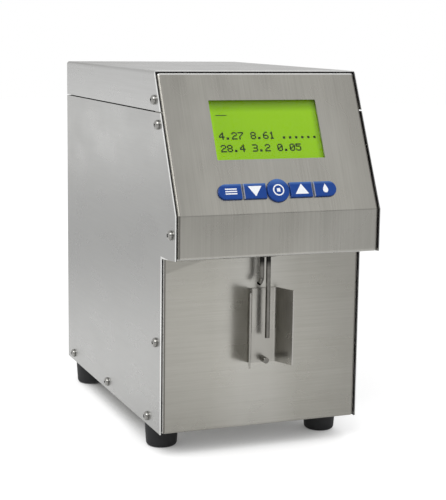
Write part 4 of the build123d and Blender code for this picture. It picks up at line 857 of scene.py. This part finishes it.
# acetal: off-white and slightly waxy; the cans on it: warm, fairly bright nickel
dress(moulded("white acetal block", "#DCDCD6", "#EAEAE4", 0.42, 250), "sensor_cell")
dress(metal("nickel-plated brass can", "#A9A79E", "#C9C7BE", 0.22, 0.36, 300), "transducers")
# pump: black with a dull fibre grain; its motor: grey zinc, a little darker than the plate
dress(moulded("black glass-filled nylon", "#18191B", "#27282B", 0.5, 700), "pump_housing", "pump_rotor",
      "rotor_cap")
dress(metal("gear motor can, zinc-plated", "#8F9396", "#B3B6B8", 0.28, 0.42, 200), "pump_motor")


# Hoses: clear silicone, one from the intake tube to the cell and one from the cell through the
# pump to the outlet tube, pushed over the tube ends and nipples. Milky, with a soft gloss.
hose, tree, skin, place = new_finish("translucent silicone hose")
milky = add(tree, "ShaderNodeTexNoise", {"Vector": place.outputs["Object"], "Scale": 80.0, "Detail": 2.0})
rubber = add(tree, "ShaderNodeMix", {"Factor": milky.outputs["Fac"], 6: colour("#D8D6CC"),
                                     7: colour("#EEEDE6")}, data_type="RGBA")
tree.links.new(rubber.outputs[2], skin.inputs["Base Color"])
skin.inputs["Roughness"].default_value = 0.35
skin.inputs["Transmission Weight"].default_value = 0.4
skin.inputs["IOR"].default_value = 1.41
dress(hose, "intake_hose", "pump_hose")


# Electronics: the main board on brass spacers above the shelf, with chips, capacitors in
# shrink sleeves, a finned heat sink, a ring transformer and a flat ribbon cable to the display.
# brass: warm yellow, turned; chips: flat dark grey; sleeves: dark blue and glossy
dress(metal("turned brass", "#A98C45", "#C9AC62", 0.25, 0.4, 400), "board_spacers", "inlet_pins")
dress(moulded("epoxy chip body", "#191A1C", "#232427", 0.55, 900), "board_chips")
dress(moulded("dark blue shrink sleeve", "#1E2A4A", "#2A3860", 0.3, 300), "board_capacitors")
# heat sink: black with a metal's soft sheen; transformer: yellow tape, fairly glossy
dress(metal("black-anodised aluminium", "#232427", "#37383C", 0.4, 0.55, 400), "heat_sink")
dress(moulded("yellow polyester tape", "#C9A93A", "#DABC4E", 0.4, 200), "transformer")
# ribbon: grey with lighter lines between its wires; real wires lie 1.27 mm apart, and these are
# drawn 2.5 mm apart so that they show
ribbon, tree, skin, place = new_finish("grey ribbon cable")
wires = add(tree, "ShaderNodeTexWave", {"Vector": place.outputs["Object"], "Scale": 125.0,
                                        "Distortion": 0.0}, bands_direction="X")
sleeve = add(tree, "ShaderNodeMix", {"Factor": wires.outputs["Fac"], 6: colour("#8E9094"),
                                     7: colour("#B4B6BA")}, data_type="RGBA")
tree.links.new(sleeve.outputs[2], skin.inputs["Base Color"])
skin.inputs["Roughness"].default_value = 0.5
dress(ribbon, "ribbon_cable")


# Rear fittings: moulded power inlet with three pins, rocker switch, and two nine-pole ports in
# pressed, nickel-plated shells with jack screws. The bodies are black and half matt, the rocker
# is glossy, and the shells are bright and a little warm.
dress(moulded("black moulded inlet plastic", "#1A1B1D", "#2A2B2E", 0.42, 700), "power_inlet",
      "rocker_switch")
dress(moulded("glossy black rocker", "#141416", "#222226", 0.25, 500, 0.02, 0.3), "rocker")
dress(metal("nickel-plated pressed shell", "#B7B5AE", "#D4D2CC", 0.2, 0.34, 300), "serial_ports")

low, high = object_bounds()
